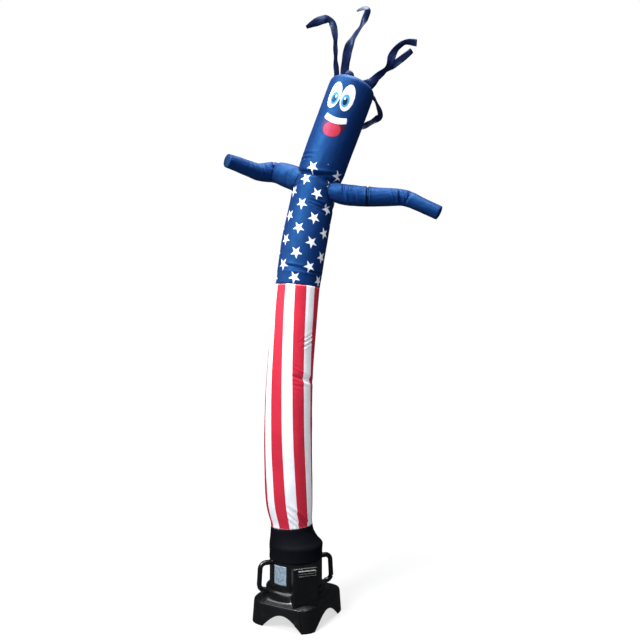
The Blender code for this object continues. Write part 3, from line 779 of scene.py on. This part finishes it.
def fold_depth(folds, at, degrees):
    """How far the cloth is drawn in at this place and angle."""
    depth = 0.0
    for fold in folds:
        away = (degrees - fold.angle + 180) % 360 - 180
        if abs(away) >= fold.spread:
            continue
        fade = math.cos(math.pi / 2 * away / fold.spread) ** 1.3
        offset = (at - fold.at - fold.slant * away / 360) / fold.width
        depth += fold.depth * fade * math.exp(-(offset**2))
    return depth


def crease_depth(creases, at, degrees, radius):
    """A sharp trough along each crease, with a soft ridge on either side."""
    overrun = 0.15
    ridge, ridge_off = 0.42, 1.9
    depth = 0.0
    for crease in creases:
        reach = 4 * crease.width
        if not min(crease.at, crease.to_at) - reach < at < max(crease.at, crease.to_at) + reach:
            continue
        away = ((degrees - crease.angle + 180) % 360 - 180) * math.pi / 180 * radius
        run = (crease.to_angle - crease.angle) * math.pi / 180 * radius
        rise = crease.to_at - crease.at
        length = math.hypot(run, rise)
        along = (away * run + (at - crease.at) * rise) / length**2
        if not -overrun < along < 1 + overrun:
            continue
        off = abs(away * rise - (at - crease.at) * run) / length / crease.width
        share = (along + overrun) / (1 + 2 * overrun)
        taper = math.sin(math.pi * min(max(share, 0), 1)) ** 0.8
        trough = math.exp(-(off**1.5)) - ridge * math.exp(-((off - ridge_off) ** 2))
        depth += crease.depth * taper * trough
    return depth


def even_places(rows, first, last, spacing, closed_end=False):
    """Places along a table about spacing apart, measured along the cloth."""
    fine = 60
    count = round((last - first) * fine)
    lengths = [0.0]
    for index in range(count):
        here = row_at(rows, first + index / fine)
        there = row_at(rows, first + (index + 1) / fine)
        step = math.hypot((centre_of(there) - centre_of(here)).length, (there.across - here.across) / 2)
        lengths.append(lengths[-1] + step)
    steps = max(2, round(lengths[-1] / spacing))
    places = []
    index = 0
    for step in range(steps + 1):
        wanted = lengths[-1] * step / steps
        while index < count - 1 and lengths[index + 1] < wanted:
            index += 1
        share = (wanted - lengths[index]) / (lengths[index + 1] - lengths[index])
        places.append(Place(first + (index + share) / fine, wanted))
    if closed_end:
        radius = rows[last].across / 2
        for shrink in (0.97, 0.90, 0.75, 0.50, 0.25, 0.0):
            places.append(Place(last, lengths[-1] + radius * (1 - shrink), shrink))
    return places


def cloth_length(rows, first, last):
    """Metres along the cloth from one row of a table to another."""
    return even_places(rows, first, last, 0.01)[-1].metres


def panel(columns, places, point, wrapped=False):
    """A cloth panel laid by point(u, place). A wrapped panel is joined edge to edge."""
    bm = bmesh.new()
    rows = len(places) - 1
    bmesh.ops.create_grid(bm, x_segments=columns, y_segments=rows, size=1.0)
    uv = bm.loops.layers.uv.new("cloth")
    for face in bm.faces:
        for loop in face.loops:
            row = round((loop.vert.co.y + 1) / 2 * rows)
            loop[uv].uv = ((loop.vert.co.x + 1) / 2, places[row].metres)
    for vert in bm.verts:
        u = (vert.co.x + 1) / 2
        row = round((vert.co.y + 1) / 2 * rows)
        vert.co = point(u, places[row])
    if wrapped:
        close_up(bm)
    return bm


def close_up(bm):
    """Joins edges that meet, and turns every face outwards."""
    bmesh.ops.remove_doubles(bm, verts=bm.verts, dist=0.00002)
    bmesh.ops.recalc_face_normals(bm, faces=bm.faces)


def add_mesh(name, bm, material):
    data = bpy.data.meshes.new(name)
    bm.to_mesh(data)
    bm.free()
    data.materials.append(material)
    return add_object(name, data)


def add_piece(name, bm, material, replaced):
    """A finished mesh as a piece of the object, standing for CAD nodes."""
    piece = add_mesh(name, bm, material)
    piece.data.shade_smooth()
    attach(piece, "root")
    if replaced:
        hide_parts(*replaced)
    return piece


def solidify(piece, thickness, offset=-1.0):
    wall = piece.modifiers.new("cloth", "SOLIDIFY")
    wall.thickness = thickness
    wall.offset = offset
    wall.use_even_offset = True


def billow(point, scale, depth):
    """Soft unevenness of filled cloth."""
    return depth * noise.noise(point * scale)


def pinch(away, deep, half):
    """The trough along a seam, away from its middle."""
    return deep * math.exp(-((away / half) ** 2))


def puckers(away, deep, long, swing):
    """Small folds across a seam, which die out away from it."""
    return deep * swing * math.exp(-abs(away) / long)


def pucker_swing(degrees, count):
    """From -1 to 1 and back, about count times round a tube, unevenly spaced."""
    return math.cos(math.radians(degrees * count) + 2.0 * math.sin(math.radians(degrees * 5)))


def seam_relief(distance, degrees, count=SEAM_PUCKERS):
    """A drawn-in seam with small puckers that run away from it."""
    swing = pucker_swing(degrees, count)
    return pinch(distance, deep=0.0035, half=0.010) + puckers(distance, deep=0.0018, long=0.030, swing=swing)


def back_seam_relief(u, metres):
    """The tall tube's lengthwise seam at the back, where the panel's edges meet."""
    reach, pucker_beat = 0.10, 130
    away = min(u, 1 - u) * TUBE_CIRCUMFERENCE
    if away > reach:
        return 0.0
    swing = math.cos(metres * pucker_beat)
    return pinch(away, deep=0.0030, half=0.008) + puckers(away, deep=0.0014, long=0.022, swing=swing)


def stripe_start(z):
    """The angle at which the striped panel starts, from that of its brightest white stripe."""
    degrees = STRIPE_TURN[-1].degrees
    for below, above in zip(STRIPE_TURN, STRIPE_TURN[1:]):
        if z <= above.z:
            share = (z - below.z) / (above.z - below.z)
            degrees = below.degrees + (above.degrees - below.degrees) * share
            break
    return degrees - BRIGHT_STRIPE / STRIPES * 360


def back_start(z):
    """A plain panel starts at the back at every height."""
    return 90


def around_axes(along, sideways):
    """Two directions across a tube, the first one nearest to sideways."""
    right = (sideways - along * sideways.dot(along)).normalized()
    return right, along.cross(right)


def trunk_point(place, degrees, depth=0.0):
    row = row_at(TRUNK, place)
    right, back = around_axes(direction_at(TRUNK, place), Vector((1, 0, 0)))
    angle = math.radians(degrees)
    radius = max(row.across / 2 - depth, 0.0)
    return centre_of(row) + radius * (math.cos(angle) * right + math.sin(angle) * back)


def halve_down(low, high, steps, is_past):
    """The place between low and high where is_past turns true."""
    for _ in range(steps):
        place = (low + high) / 2
        if is_past(place):
            high = place
        else:
            low = place
    return place


def outside_trunk(point):
    """How far a point lies outside the tall tube's cloth. It is negative inside the tube."""
    def is_past(place):
        return (point - centre_of(row_at(TRUNK, place))).dot(direction_at(TRUNK, place)) <= 0

    place = halve_down(*ARMHOLE_TRUNK_ROWS, 18, is_past)
    row = row_at(TRUNK, place)
    right, back = around_axes(direction_at(TRUNK, place), Vector((1, 0, 0)))
    away = point - centre_of(row)
    degrees = math.degrees(math.atan2(away.dot(back), away.dot(right))) % 360
    return away.length - row.across / 2 + fold_depth(TRUNK_FOLDS, row.z, degrees)


def arm_point(rows, folds, place, degrees, depth=0.0, shrink=1.0, bulge=0.0):
    row = row_at(rows, place)
    along = direction_at(rows, place)
    right, back = around_axes(along, Vector((0, 0, 1)))
    angle = math.radians(degrees)
    radius = (row.across / 2 - fold_depth(folds, place, degrees) - depth) * shrink
    across = math.cos(angle) * right + math.sin(angle) * back
    return centre_of(row) + radius * across + along * bulge


def find_armhole(rows, folds):
    """Where each line along an arm comes out of the tall tube."""
    points = []
    metres = []
    lengths = even_places(rows, 0, len(rows) - 1, 0.010)
    for column in range(ARMHOLE_COLUMNS):
        degrees = 360 * column / ARMHOLE_COLUMNS
        place = halve_down(*ARMHOLE_ARM_ROWS, 16,
                           lambda place: outside_trunk(arm_point(rows, folds, place, degrees)) > 0)
        points.append(arm_point(rows, folds, place, degrees))
        metres.append(min(lengths, key=lambda spot: abs(spot.place - place)).metres)
    return Armhole(points, metres)


ARMHOLES = {
    "arm_left": find_armhole(ARM_LEFT, ARM_LEFT_FOLDS),
    "arm_right": find_armhole(ARM_RIGHT, ARM_RIGHT_FOLDS),
}


def armhole_relief(point):
    """The tube's cloth drawn in and puckered round the two armholes."""
    far, reach = 0.5, 0.12
    depth = 0.0
    for armhole in ARMHOLES.values():
        if (point - armhole.points[0]).length > far:
            continue
        away, column = min(((point - rim).length, index) for index, rim in enumerate(armhole.points))
        if away < reach:
            swing = pucker_swing(column * 360 / ARMHOLE_COLUMNS, ARMHOLE_PUCKERS)
            depth += pinch(away, deep=0.005, half=0.014)
            depth += puckers(away, deep=0.0022, long=0.040, swing=swing)
    return depth


def trunk_piece(node, first, last, material, seams, start=back_start):
    """A length of the tall tube, from one panel whose edges meet at the back."""
    places = even_places(TRUNK, first, last, 0.0115)
    total = places[-1].metres
    least_radius, full_relief_across = 0.05, 0.30

    def point(u, spot):
        u = u % 1.0
        row = row_at(TRUNK, spot.place)
        degrees = start(row.z) + 360 * u
        radius = max(row.across / 2, least_radius)
        around = Vector((math.cos(math.radians(degrees)), math.sin(math.radians(degrees)), row.z * 1.2))
        depth = crease_depth(TRUNK_CREASES, row.z, degrees, radius)
        depth += billow(around, 2.3, 0.0030) + billow(around, 6.0, 0.0012)
        depth += back_seam_relief(u, spot.metres)
        for seam in seams:
            depth += seam_relief(spot.metres - seam * total, degrees)
        if ARMHOLE_HEIGHTS[0] < row.z < ARMHOLE_HEIGHTS[1]:
            depth += armhole_relief(trunk_point(spot.place, degrees))
        depth *= min(1.0, row.across / full_relief_across)
        if first == HEM:
            depth *= min(1.0, max(0.0, (row.z - SLEEVE_FILLED_Z) / SLEEVE_FADE))
            if spot.metres < HEM_WIDE:
                depth -= HEM_RAISED
        depth += fold_depth(TRUNK_FOLDS, row.z, degrees)
        return ROOT + trunk_point(spot.place, degrees, depth)

    bm = panel(TUBE_COLUMNS, places, point, wrapped=True)
    piece = add_piece(f"{node}_cloth", bm, material, [node])
    solidify(piece, CLOTH)


def arm_piece(node, rows, folds, creases, material, seam_material):
    """An arm from inside the tall tube to its closed end, with the seam where it is sewn in."""
    root_puckers, end_puckers, end_share, end_bulge = 14, 12, 0.6, 0.012
    last = len(rows) - 1
    places = even_places(rows, 0, last, 0.0075, closed_end=True)
    armhole = ARMHOLES[node]
    total = next(spot.metres for spot in places if spot.place == last)

    def point(u, spot):
        u = u % 1.0
        degrees = 360 * u
        angle = math.radians(degrees)
        around = Vector((math.cos(angle), math.sin(angle), spot.metres * 4))
        from_armhole = spot.metres - armhole.metres[round(u * ARMHOLE_COLUMNS) % ARMHOLE_COLUMNS]
        depth = crease_depth(creases, spot.metres, degrees, row_at(rows, spot.place).across / 2)
        depth += billow(around, 1.6, 0.003) + billow(around, 4.0, 0.0015)
        depth += seam_relief(from_armhole, degrees, root_puckers)
        depth += end_share * seam_relief(total - spot.metres, degrees, end_puckers)
        bulge = end_bulge * (1 - spot.shrink**2)
        return ROOT + arm_point(rows, folds, spot.place, degrees, depth, spot.shrink, bulge)

    bm = panel(ARM_COLUMNS, places, point, wrapped=True)
    piece = add_piece(f"{node}_cloth", bm, material, [node])
    solidify(piece, CLOTH)
    seam = armhole_seam_piece(f"{node}_seam", armhole.points, seam_material)


def armhole_seam_piece(name, rim, material):
    """The rolled seam that joins an arm to the tall tube."""
    sides = 8
    side_long = 0.0035
    roll_radius = 0.0045
    middle = sum(rim, Vector()) / len(rim)
    places = [Place(index, side_long * index) for index in range(sides + 1)]

    def point(u, spot):
        column = round(u * len(rim)) % len(rim)
        along = (rim[(column + 1) % len(rim)] - rim[column - 1]).normalized()
        right, back = around_axes(along, middle - rim[column])
        angle = 2 * math.pi * (spot.place % sides) / sides
        return ROOT + rim[column] + roll_radius * (math.cos(angle) * right + math.sin(angle) * back)

    bm = panel(len(rim), places, point, wrapped=True)
    return add_piece(name, bm, material, [])


def ribbon_piece(node, rows, material):
    """A ribbon whose width turns about its length, with a slight curl and ruffle."""
    steps = 10
    curl_deep, ruffle_deep = 0.010, 0.004
    view = Vector((0, 1, 0))
    places = [Place(0.0, 0.0)]
    for index in range(1, steps * (len(rows) - 1) + 1):
        step = centre_of(row_at(rows, index / steps)) - centre_of(row_at(rows, places[-1].place))
        places.append(Place(index / steps, places[-1].metres + step.length))

    def point(u, spot):
        row = row_at(rows, spot.place)
        along = direction_at(rows, spot.place, 0.25)
        face_on = along.cross(view).normalized()
        across = Matrix.Rotation(math.radians(row.turn), 3, along) @ face_on
        out = across.cross(along)
        side = u - 0.5
        curl = curl_deep * (4 * side * side - 0.5) * math.sin(spot.metres * 9 + 1.0)
        ruffle = ruffle_deep * math.sin(spot.metres * 38 + 3 * side) * abs(side) * 2
        return ROOT + centre_of(row) + across * side * row.wide + out * (curl + ruffle)

    bm = panel(10, places, point)
    piece = add_piece(f"{node}_ribbon", bm, material, [node])
    solidify(piece, RIBBON, 0.0)
    width = sum(row.wide for row in rows) / len(rows)


# Blower shapes
BASE_SHOULDER_Z = BASE_EDGE_Z - 0.014
BASE_LEVELS = table(Level, [
    (0.0016, BASE_HALF, CORNER_REACH, 0.0),
    (0.110, BASE_HALF - 0.006, CORNER_REACH - 0.009, 0.0),
    (BASE_SHOULDER_Z, BASE_HALF - 0.011, CORNER_REACH - 0.016, 0.0),
    (BASE_EDGE_Z, BASE_HALF - 0.024, CORNER_REACH - 0.030, 0.0),
    (0.229, BASE_HALF - 0.052, CORNER_REACH - 0.074, 0.15),
    (0.260, BASE_HALF - 0.060, CORNER_REACH - 0.118, 0.75),
    (ROOF_Z, LIP_RADIUS - 0.012, LIP_RADIUS - 0.012, 1.0),
    (ROOF_Z, ROOF_HOLE_RADIUS, ROOF_HOLE_RADIUS, 1.0),
])


def square_radius(degrees, half, reach):
    """The outline of the base: a square of half width, with corners cut off at reach."""
    sharpness = 14
    angle = math.radians(degrees)
    total = 0.0
    for side in range(8):
        limit = reach if side % 2 else half
        toward = math.cos(angle - side * math.pi / 4)
        if toward > 0:
            total += (toward / limit) ** sharpness
    return total ** (-1 / sharpness)


def arch_height(degrees):
    """How high the skirt's lower edge is cut: half a sine wave in each side.

    The two sides beside the control box have theirs nearer to that corner.
    """
    side = (degrees + 45) % 90 - 45
    sideways = BASE_HALF * math.tan(math.radians(side))
    if degrees % 360 > 315 or degrees % 360 <= 45:
        sideways += ARCH_SHIFT
    elif 225 < degrees % 360 <= 315:
        sideways -= ARCH_SHIFT
    if abs(sideways) >= ARCH_HALF_SPAN:
        return 0.0
    return ARCH_HEIGHT * math.cos(math.pi / 2 * sideways / ARCH_HALF_SPAN)


def corner_rib(degrees, z):
    """A shallow rib at the front corner, narrow at the shoulder and wide at the foot."""
    narrow, wider, raised = 0.8, 4.5, 0.009
    away = abs((degrees + RIB_ANGLE + 180) % 360 - 180)
    half = narrow + wider * (1 - min(z / BASE_EDGE_Z, 1.0)) ** 1.5
    return raised if away < half else 0.0


def base_piece(material):
    """The skirt and its roof. Its columns stand closer together near the rib."""
    steps = 8
    crowding = 40
    places = [Place(index / steps, index / steps) for index in range(steps * (len(BASE_LEVELS) - 1) + 1)]

    def point(u, spot):
        level = row_at(BASE_LEVELS, spot.place)
        degrees = 360 * u - RIB_ANGLE - crowding * math.sin(2 * math.pi * u)
        squared = square_radius(degrees, level.half, level.reach)
        radius = squared * (1 - level.round) + level.half * level.round
        deeper = BASE_DEEPER * (1 - level.round)
        angle = math.radians(degrees)
        if level.z < BASE_EDGE_Z:
            radius += corner_rib(degrees, level.z)
        x = radius * math.cos(angle)
        y = radius * math.sin(angle) * (1 + deeper / BASE_HALF) + deeper
        lift = arch_height(degrees) * max(0.0, 1 - level.z / BASE_SHOULDER_Z)
        return BLOWER @ Vector((x, y, level.z + lift))

    bm = panel(480, places, point, wrapped=True)
    piece = add_piece("base_skirt", bm, material, ["blower_base"])
    solidify(piece, BASE_WALL)


def spun_piece(name, profile, material, node, edge):
    """A closed profile of (radius, height) spun round the blower's axis."""
    bm = bmesh.new()
    verts = [bm.verts.new((radius, 0, height)) for radius, height in profile]
    edges = [bm.edges.new((verts[index - 1], verts[index])) for index in range(len(verts))]
    bmesh.ops.spin(bm, geom=verts + edges, axis=(0, 0, 1), cent=(0, 0, 0), angle=2 * math.pi,
                   steps=128, use_merge=True)
    close_up(bm)
    bmesh.ops.transform(bm, verts=bm.verts, matrix=BLOWER)
    piece = add_piece(name, bm, material, [node])
    soften(piece, edge, 5)


def soften(piece, width, segments):
    """Rounded edges where faces meet sharply."""
    edge = piece.modifiers.new("rounded edges", "BEVEL")
    edge.width = width
    edge.segments = segments
    edge.limit_method = "ANGLE"
    edge.angle_limit = math.radians(35)
    edge.harden_normals = True


def control_box_piece(material):
    """The housing at the front corner, with three hooded slots."""
    low = 0.200
    deep = 0.150
    corner = 0.014
    slot_low, slot_high = -0.075, 0.095
    grooves = (0.536, 0.515, 0.494)
    half_groove = 0.0040
    groove_deep = 0.007
    hood = 0.008
    hood_reach = 0.0105
    near = 0.001
    bm = bmesh.new()
    bmesh.ops.create_cube(bm, size=1.0)
    bmesh.ops.scale(bm, verts=bm.verts, vec=(deep, BOX_WIDTH, BOX_TOP_Z - low))
    bmesh.ops.translate(bm, verts=bm.verts, vec=(BOX_REACH - deep / 2, 0, (BOX_TOP_Z + low) / 2))
    bmesh.ops.bevel(bm, geom=bm.edges[:], offset=corner, segments=4, profile=0.5, affect="EDGES", material=-1)
    planes = [((0, 0, height + offset), (0, 0, 1)) for height in grooves
              for offset in (-half_groove, half_groove, half_groove + hood)]
    planes += [((0, slot_low, 0), (0, 1, 0)), ((0, slot_high, 0), (0, 1, 0))]
    for place, normal in planes:
        bmesh.ops.bisect_plane(bm, geom=bm.verts[:] + bm.edges[:] + bm.faces[:], dist=0.00001,
                               plane_co=place, plane_no=normal)

    def front_faces(offset):
        found = []
        for face in bm.faces:
            middle = face.calc_center_median()
            level = any(abs(middle.z - height - offset) < near for height in grooves)
            if middle.x > BOX_REACH - 0.0005 and level and slot_low < middle.y < slot_high:
                found.append(face)
        return found

    bmesh.ops.inset_region(bm, faces=front_faces(half_groove + hood / 2), thickness=0.0004, depth=0.0004)
    for height in grooves:
        low_edge = [vert for vert in bm.verts if vert.co.x > BOX_REACH + 0.0003
                    and abs(vert.co.z - height - half_groove) < near]
        bmesh.ops.translate(bm, verts=low_edge, vec=(hood_reach, 0, 0))
    bmesh.ops.inset_region(bm, faces=front_faces(0.0), thickness=0.0008, depth=-groove_deep)
    bmesh.ops.transform(bm, verts=bm.verts, matrix=BLOWER @ Matrix.Rotation(math.radians(-45), 4, "Z"))
    piece = add_piece("control_housing", bm, material, ["control_box"])
    soften(piece, 0.0010, 2)


def handle_piece(node, turn, material):
    """A D handle: out of the barrel, down, and back into the corner of the base."""
    corner = 0.055
    arc = 8
    top, bottom = 0.545, 0.294
    path = [(BARREL_RADIUS - 0.030, top), (BARREL_RADIUS + 0.010, top)]
    for step in range(arc + 1):
        angle = math.pi / 2 * (1 - step / arc)
        reach = HANDLE_REACH - 0.008 - corner * (1 - math.cos(angle))
        path.append((reach, top - corner * (1 - math.sin(angle))))
    for step in range(arc + 1):
        angle = math.pi / 2 * step / arc
        reach = HANDLE_REACH - corner * (1 - math.cos(angle))
        path.append((reach, bottom + corner * (1 - math.sin(angle))))
    path.append((LIP_RADIUS - 0.045, bottom - 0.052))
    rows = [Section(radius * math.cos(turn), radius * math.sin(turn), height, 2 * HANDLE_RADIUS)
            for radius, height in path]
    places = even_places(rows, 0, len(rows) - 1, 0.008)
    sideways = Vector((-math.sin(turn), math.cos(turn), 0))

    def point(u, spot):
        row = row_at(rows, spot.place)
        back = direction_at(rows, spot.place, 0.3).cross(sideways)
        angle = 2 * math.pi * (u % 1.0)
        across = math.cos(angle) * sideways + math.sin(angle) * back
        return BLOWER @ (centre_of(row) + HANDLE_RADIUS * across)

    bm = panel(32, places, point, wrapped=True)
    bmesh.ops.holes_fill(bm, edges=[edge for edge in bm.edges if edge.is_boundary], sides=0)
    add_piece(f"{node}_grip", bm, material, [node])


def rating_plate_piece(material):
    """A blank plate bent round the barrel, left of the control box."""
    low_angle, high_angle = -113.0, -81.0
    low, high = 0.368, 0.545
    steps = 16
    radius = BARREL_RADIUS + JOINT
    places = [Place(index / steps, low + (high - low) * index / steps) for index in range(steps + 1)]

    def point(u, spot):
        angle = math.radians(low_angle + (high_angle - low_angle) * u)
        return BLOWER @ Vector((radius * math.cos(angle), radius * math.sin(angle), spot.metres))

    bm = panel(24, places, point)
    piece = add_piece("blank_plate", bm, material, ["rating_plate"])
    solidify(piece, PLATE_WALL, 1.0)


add_camera()

SLEEVE_LONG = cloth_length(TRUNK, HEM, SLEEVE_SEAM)
STRIPED_LONG = cloth_length(TRUNK, SLEEVE_SEAM, STAR_SEAM)
STARRED_LONG = cloth_length(TRUNK, STAR_SEAM, TRUNK_TOP)
LEFT_LONG = cloth_length(ARM_LEFT, 0, len(ARM_LEFT) - 1)

BLUE_COATED = {"gloss": 0.62, "specular": 1.0, "thread": DARK_BLUE, "tint": BLUE_SHEEN}
BLACK_CLOTH = cloth_material("black cloth", BLACK, gloss=0.66, specular=0.08, circumference=1.50,
                             length=SLEEVE_LONG, thread=BLACK_THREAD, tint=PALE_COATING, ripple=0.0060)
STRIPED = cloth_material("striped cloth", stripe_colour, gloss=0.50, specular=0.25,
                         circumference=TUBE_CIRCUMFERENCE, length=STRIPED_LONG)
STAR_CLOTH = cloth_material("star cloth", star_colour, circumference=TUBE_CIRCUMFERENCE,
                            length=STARRED_LONG, **BLUE_COATED)
# The left arm's closed end, past its cloth length, is painted dark blue as painted shade.
LEFT_CLOTH = cloth_material("left arm cloth", arm_painted_shade_colour(LEFT_LONG, UNSTITCHED), circumference=0.60,
                            length=UNSTITCHED, **BLUE_COATED)
RIGHT_CLOTH = cloth_material("right arm cloth", arm_painted_shade_colour(*ARM_PAINTED_SHADE), circumference=0.55,
                             length=UNSTITCHED, **BLUE_COATED)
SEAM_CLOTH = cloth_material("seam cloth", DARK_BLUE, gloss=0.50, specular=0.25, circumference=1.0,
                            length=UNSTITCHED, thread=DARK_BLUE)
RIBBON_CLOTH = cloth_material("ribbon cloth", NAVY, gloss=0.44, specular=0.22, circumference=1.0,
                              length=UNSTITCHED, thread=NAVY, ripple=0.0003)
PLASTIC = plastic_material("black plastic", PLASTIC_BLACK, gloss=0.22, specular=0.90)
PLATE = plastic_material("pale plate", plate_colour, gloss=0.35, specular=0.3)

trunk_piece("base_sleeve", HEM, SLEEVE_SEAM, BLACK_CLOTH, (1.0,))
trunk_piece("striped_tube", SLEEVE_SEAM, STAR_SEAM, STRIPED, (0.0, 1.0),
            stripe_start)
trunk_piece("star_tube", STAR_SEAM, TRUNK_TOP, STAR_CLOTH, (0.0,))
arm_piece("arm_left", ARM_LEFT, ARM_LEFT_FOLDS, ARM_LEFT_CREASES, LEFT_CLOTH, SEAM_CLOTH)
arm_piece("arm_right", ARM_RIGHT, ARM_RIGHT_FOLDS, ARM_RIGHT_CREASES, RIGHT_CLOTH, SEAM_CLOTH)
for ribbon_name, ribbon_rows in RIBBONS.items():
    ribbon_piece(ribbon_name, ribbon_rows, RIBBON_CLOTH)

collar_low = ROOF_Z + JOINT
collar_high = collar_low + LIP_HEIGHT
barrel_low = collar_high + JOINT
barrel_inside = BARREL_RADIUS - BARREL_WALL
base_piece(PLASTIC)
spun_piece("collar_ring", [(LIP_RADIUS - 0.016, collar_high), (LIP_RADIUS, collar_low + 0.005),
                           (LIP_RADIUS, collar_low), (ROOF_HOLE_RADIUS, collar_low),
                           (ROOF_HOLE_RADIUS, collar_high)], PLASTIC, "blower_collar", 0.0024)
spun_piece("barrel_wall", [(BARREL_RADIUS, BARREL_TOP_Z), (BARREL_RADIUS, barrel_low),
                           (barrel_inside, barrel_low), (barrel_inside, BARREL_TOP_Z)],
           PLASTIC, "blower_barrel", 0.002)

control_box_piece(PLASTIC)
handle_piece("handle_right", HANDLE_ANGLE, PLASTIC)
handle_piece("handle_left", HANDLE_ANGLE - math.pi, PLASTIC)
rating_plate_piece(PLATE)
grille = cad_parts["intake_grille"]
grille.data.materials.clear()
grille.data.materials.append(PLASTIC)


# Studio
def add_floor():
    """A pale floor. Straight to the camera it is lifted, so that it meets the backdrop without a line."""
    bm = bmesh.new()
    bmesh.ops.create_circle(bm, cap_ends=True, segments=96, radius=60.0)
    made, graph, sockets = new_material("floor")
    paths = graph.node("ShaderNodeLightPath").outputs
    lit, mirrored = (0.24, 0.24, 0.24, 1.0), (0.008, 0.008, 0.008, 1.0)
    graph.feed(sockets["Base Color"], graph.mix(paths["Is Glossy Ray"], lit, mirrored))
    sockets["Roughness"].default_value = 0.9
    sockets["Emission Color"].default_value = (1.0, 1.0, 1.0, 1.0)
    place = graph.split(graph.node("ShaderNodeTexCoord").outputs["Object"])
    lift = graph.fit(graph.distance(place["X"], place["Y"]), 1.5, 9.0, 0.66, 1.0)
    graph.feed(sockets["Emission Strength"], graph.times(lift, paths["Is Camera Ray"]))
    floor = add_mesh("floor", bm, made)
    floor.location.z = -0.0005


def add_light(name, place, aim, size, power, mirrored=True):
    """A round soft light. One that isn't mirrored leaves no highlight."""
    lamp = bpy.data.lights.new(name, "AREA")
    lamp.shape = "DISK"
    lamp.size = size
    lamp.energy = power
    light = add_object(name, lamp)
    light.location = place
    light.visible_glossy = mirrored
    light.rotation_euler = (Vector(aim) - Vector(place)).to_track_quat("-Z", "Y").to_euler()


def add_world():
    """Even pale light, dimmer in reflections. The camera sees it as a plain white backdrop."""
    strength, dimming = 0.16, 0.8
    world = bpy.data.worlds.new("studio")
    world.use_nodes = True
    graph = Graph(world.node_tree)
    fill = world.node_tree.nodes["Background"]
    fill.inputs["Color"].default_value = (0.90, 0.95, 1.0, 1.0)
    paths = graph.node("ShaderNodeLightPath").outputs
    dimmed = graph.math("MULTIPLY_ADD", paths["Is Glossy Ray"], -dimming * strength, strength)
    graph.feed(fill.inputs["Strength"], dimmed)
    backdrop = graph.node("ShaderNodeBackground")
    backdrop.inputs["Color"].default_value = (1.0, 1.0, 1.0, 1.0)
    choose = graph.node("ShaderNodeMixShader")
    graph.feed(choose.inputs[0], paths["Is Camera Ray"])
    graph.feed(choose.inputs[1], fill.outputs[0])
    graph.feed(choose.inputs[2], backdrop.outputs[0])
    graph.feed(world.node_tree.nodes["World Output"].inputs["Surface"], choose.outputs[0])
    bpy.context.scene.world = world


add_floor()
add_light("key", (-6.2, -6.8, 10.4), (-0.2, 0.0, 3.4), 5.0, 2150)
add_light("overhead", (0.3, -0.8, 10.4), (-0.2, 0.0, 2.6), 5.0, 1050)
add_light("low left", (-3.4, -0.3, 4.0), (-0.35, 0.0, 0.3), 2.2, 45)
add_light("front fill", (2.5, -9.0, 3.5), (0.0, 0.0, 2.8), 5.0, 320, False)
add_world()
bpy.context.scene.view_settings.view_transform = "Standard"
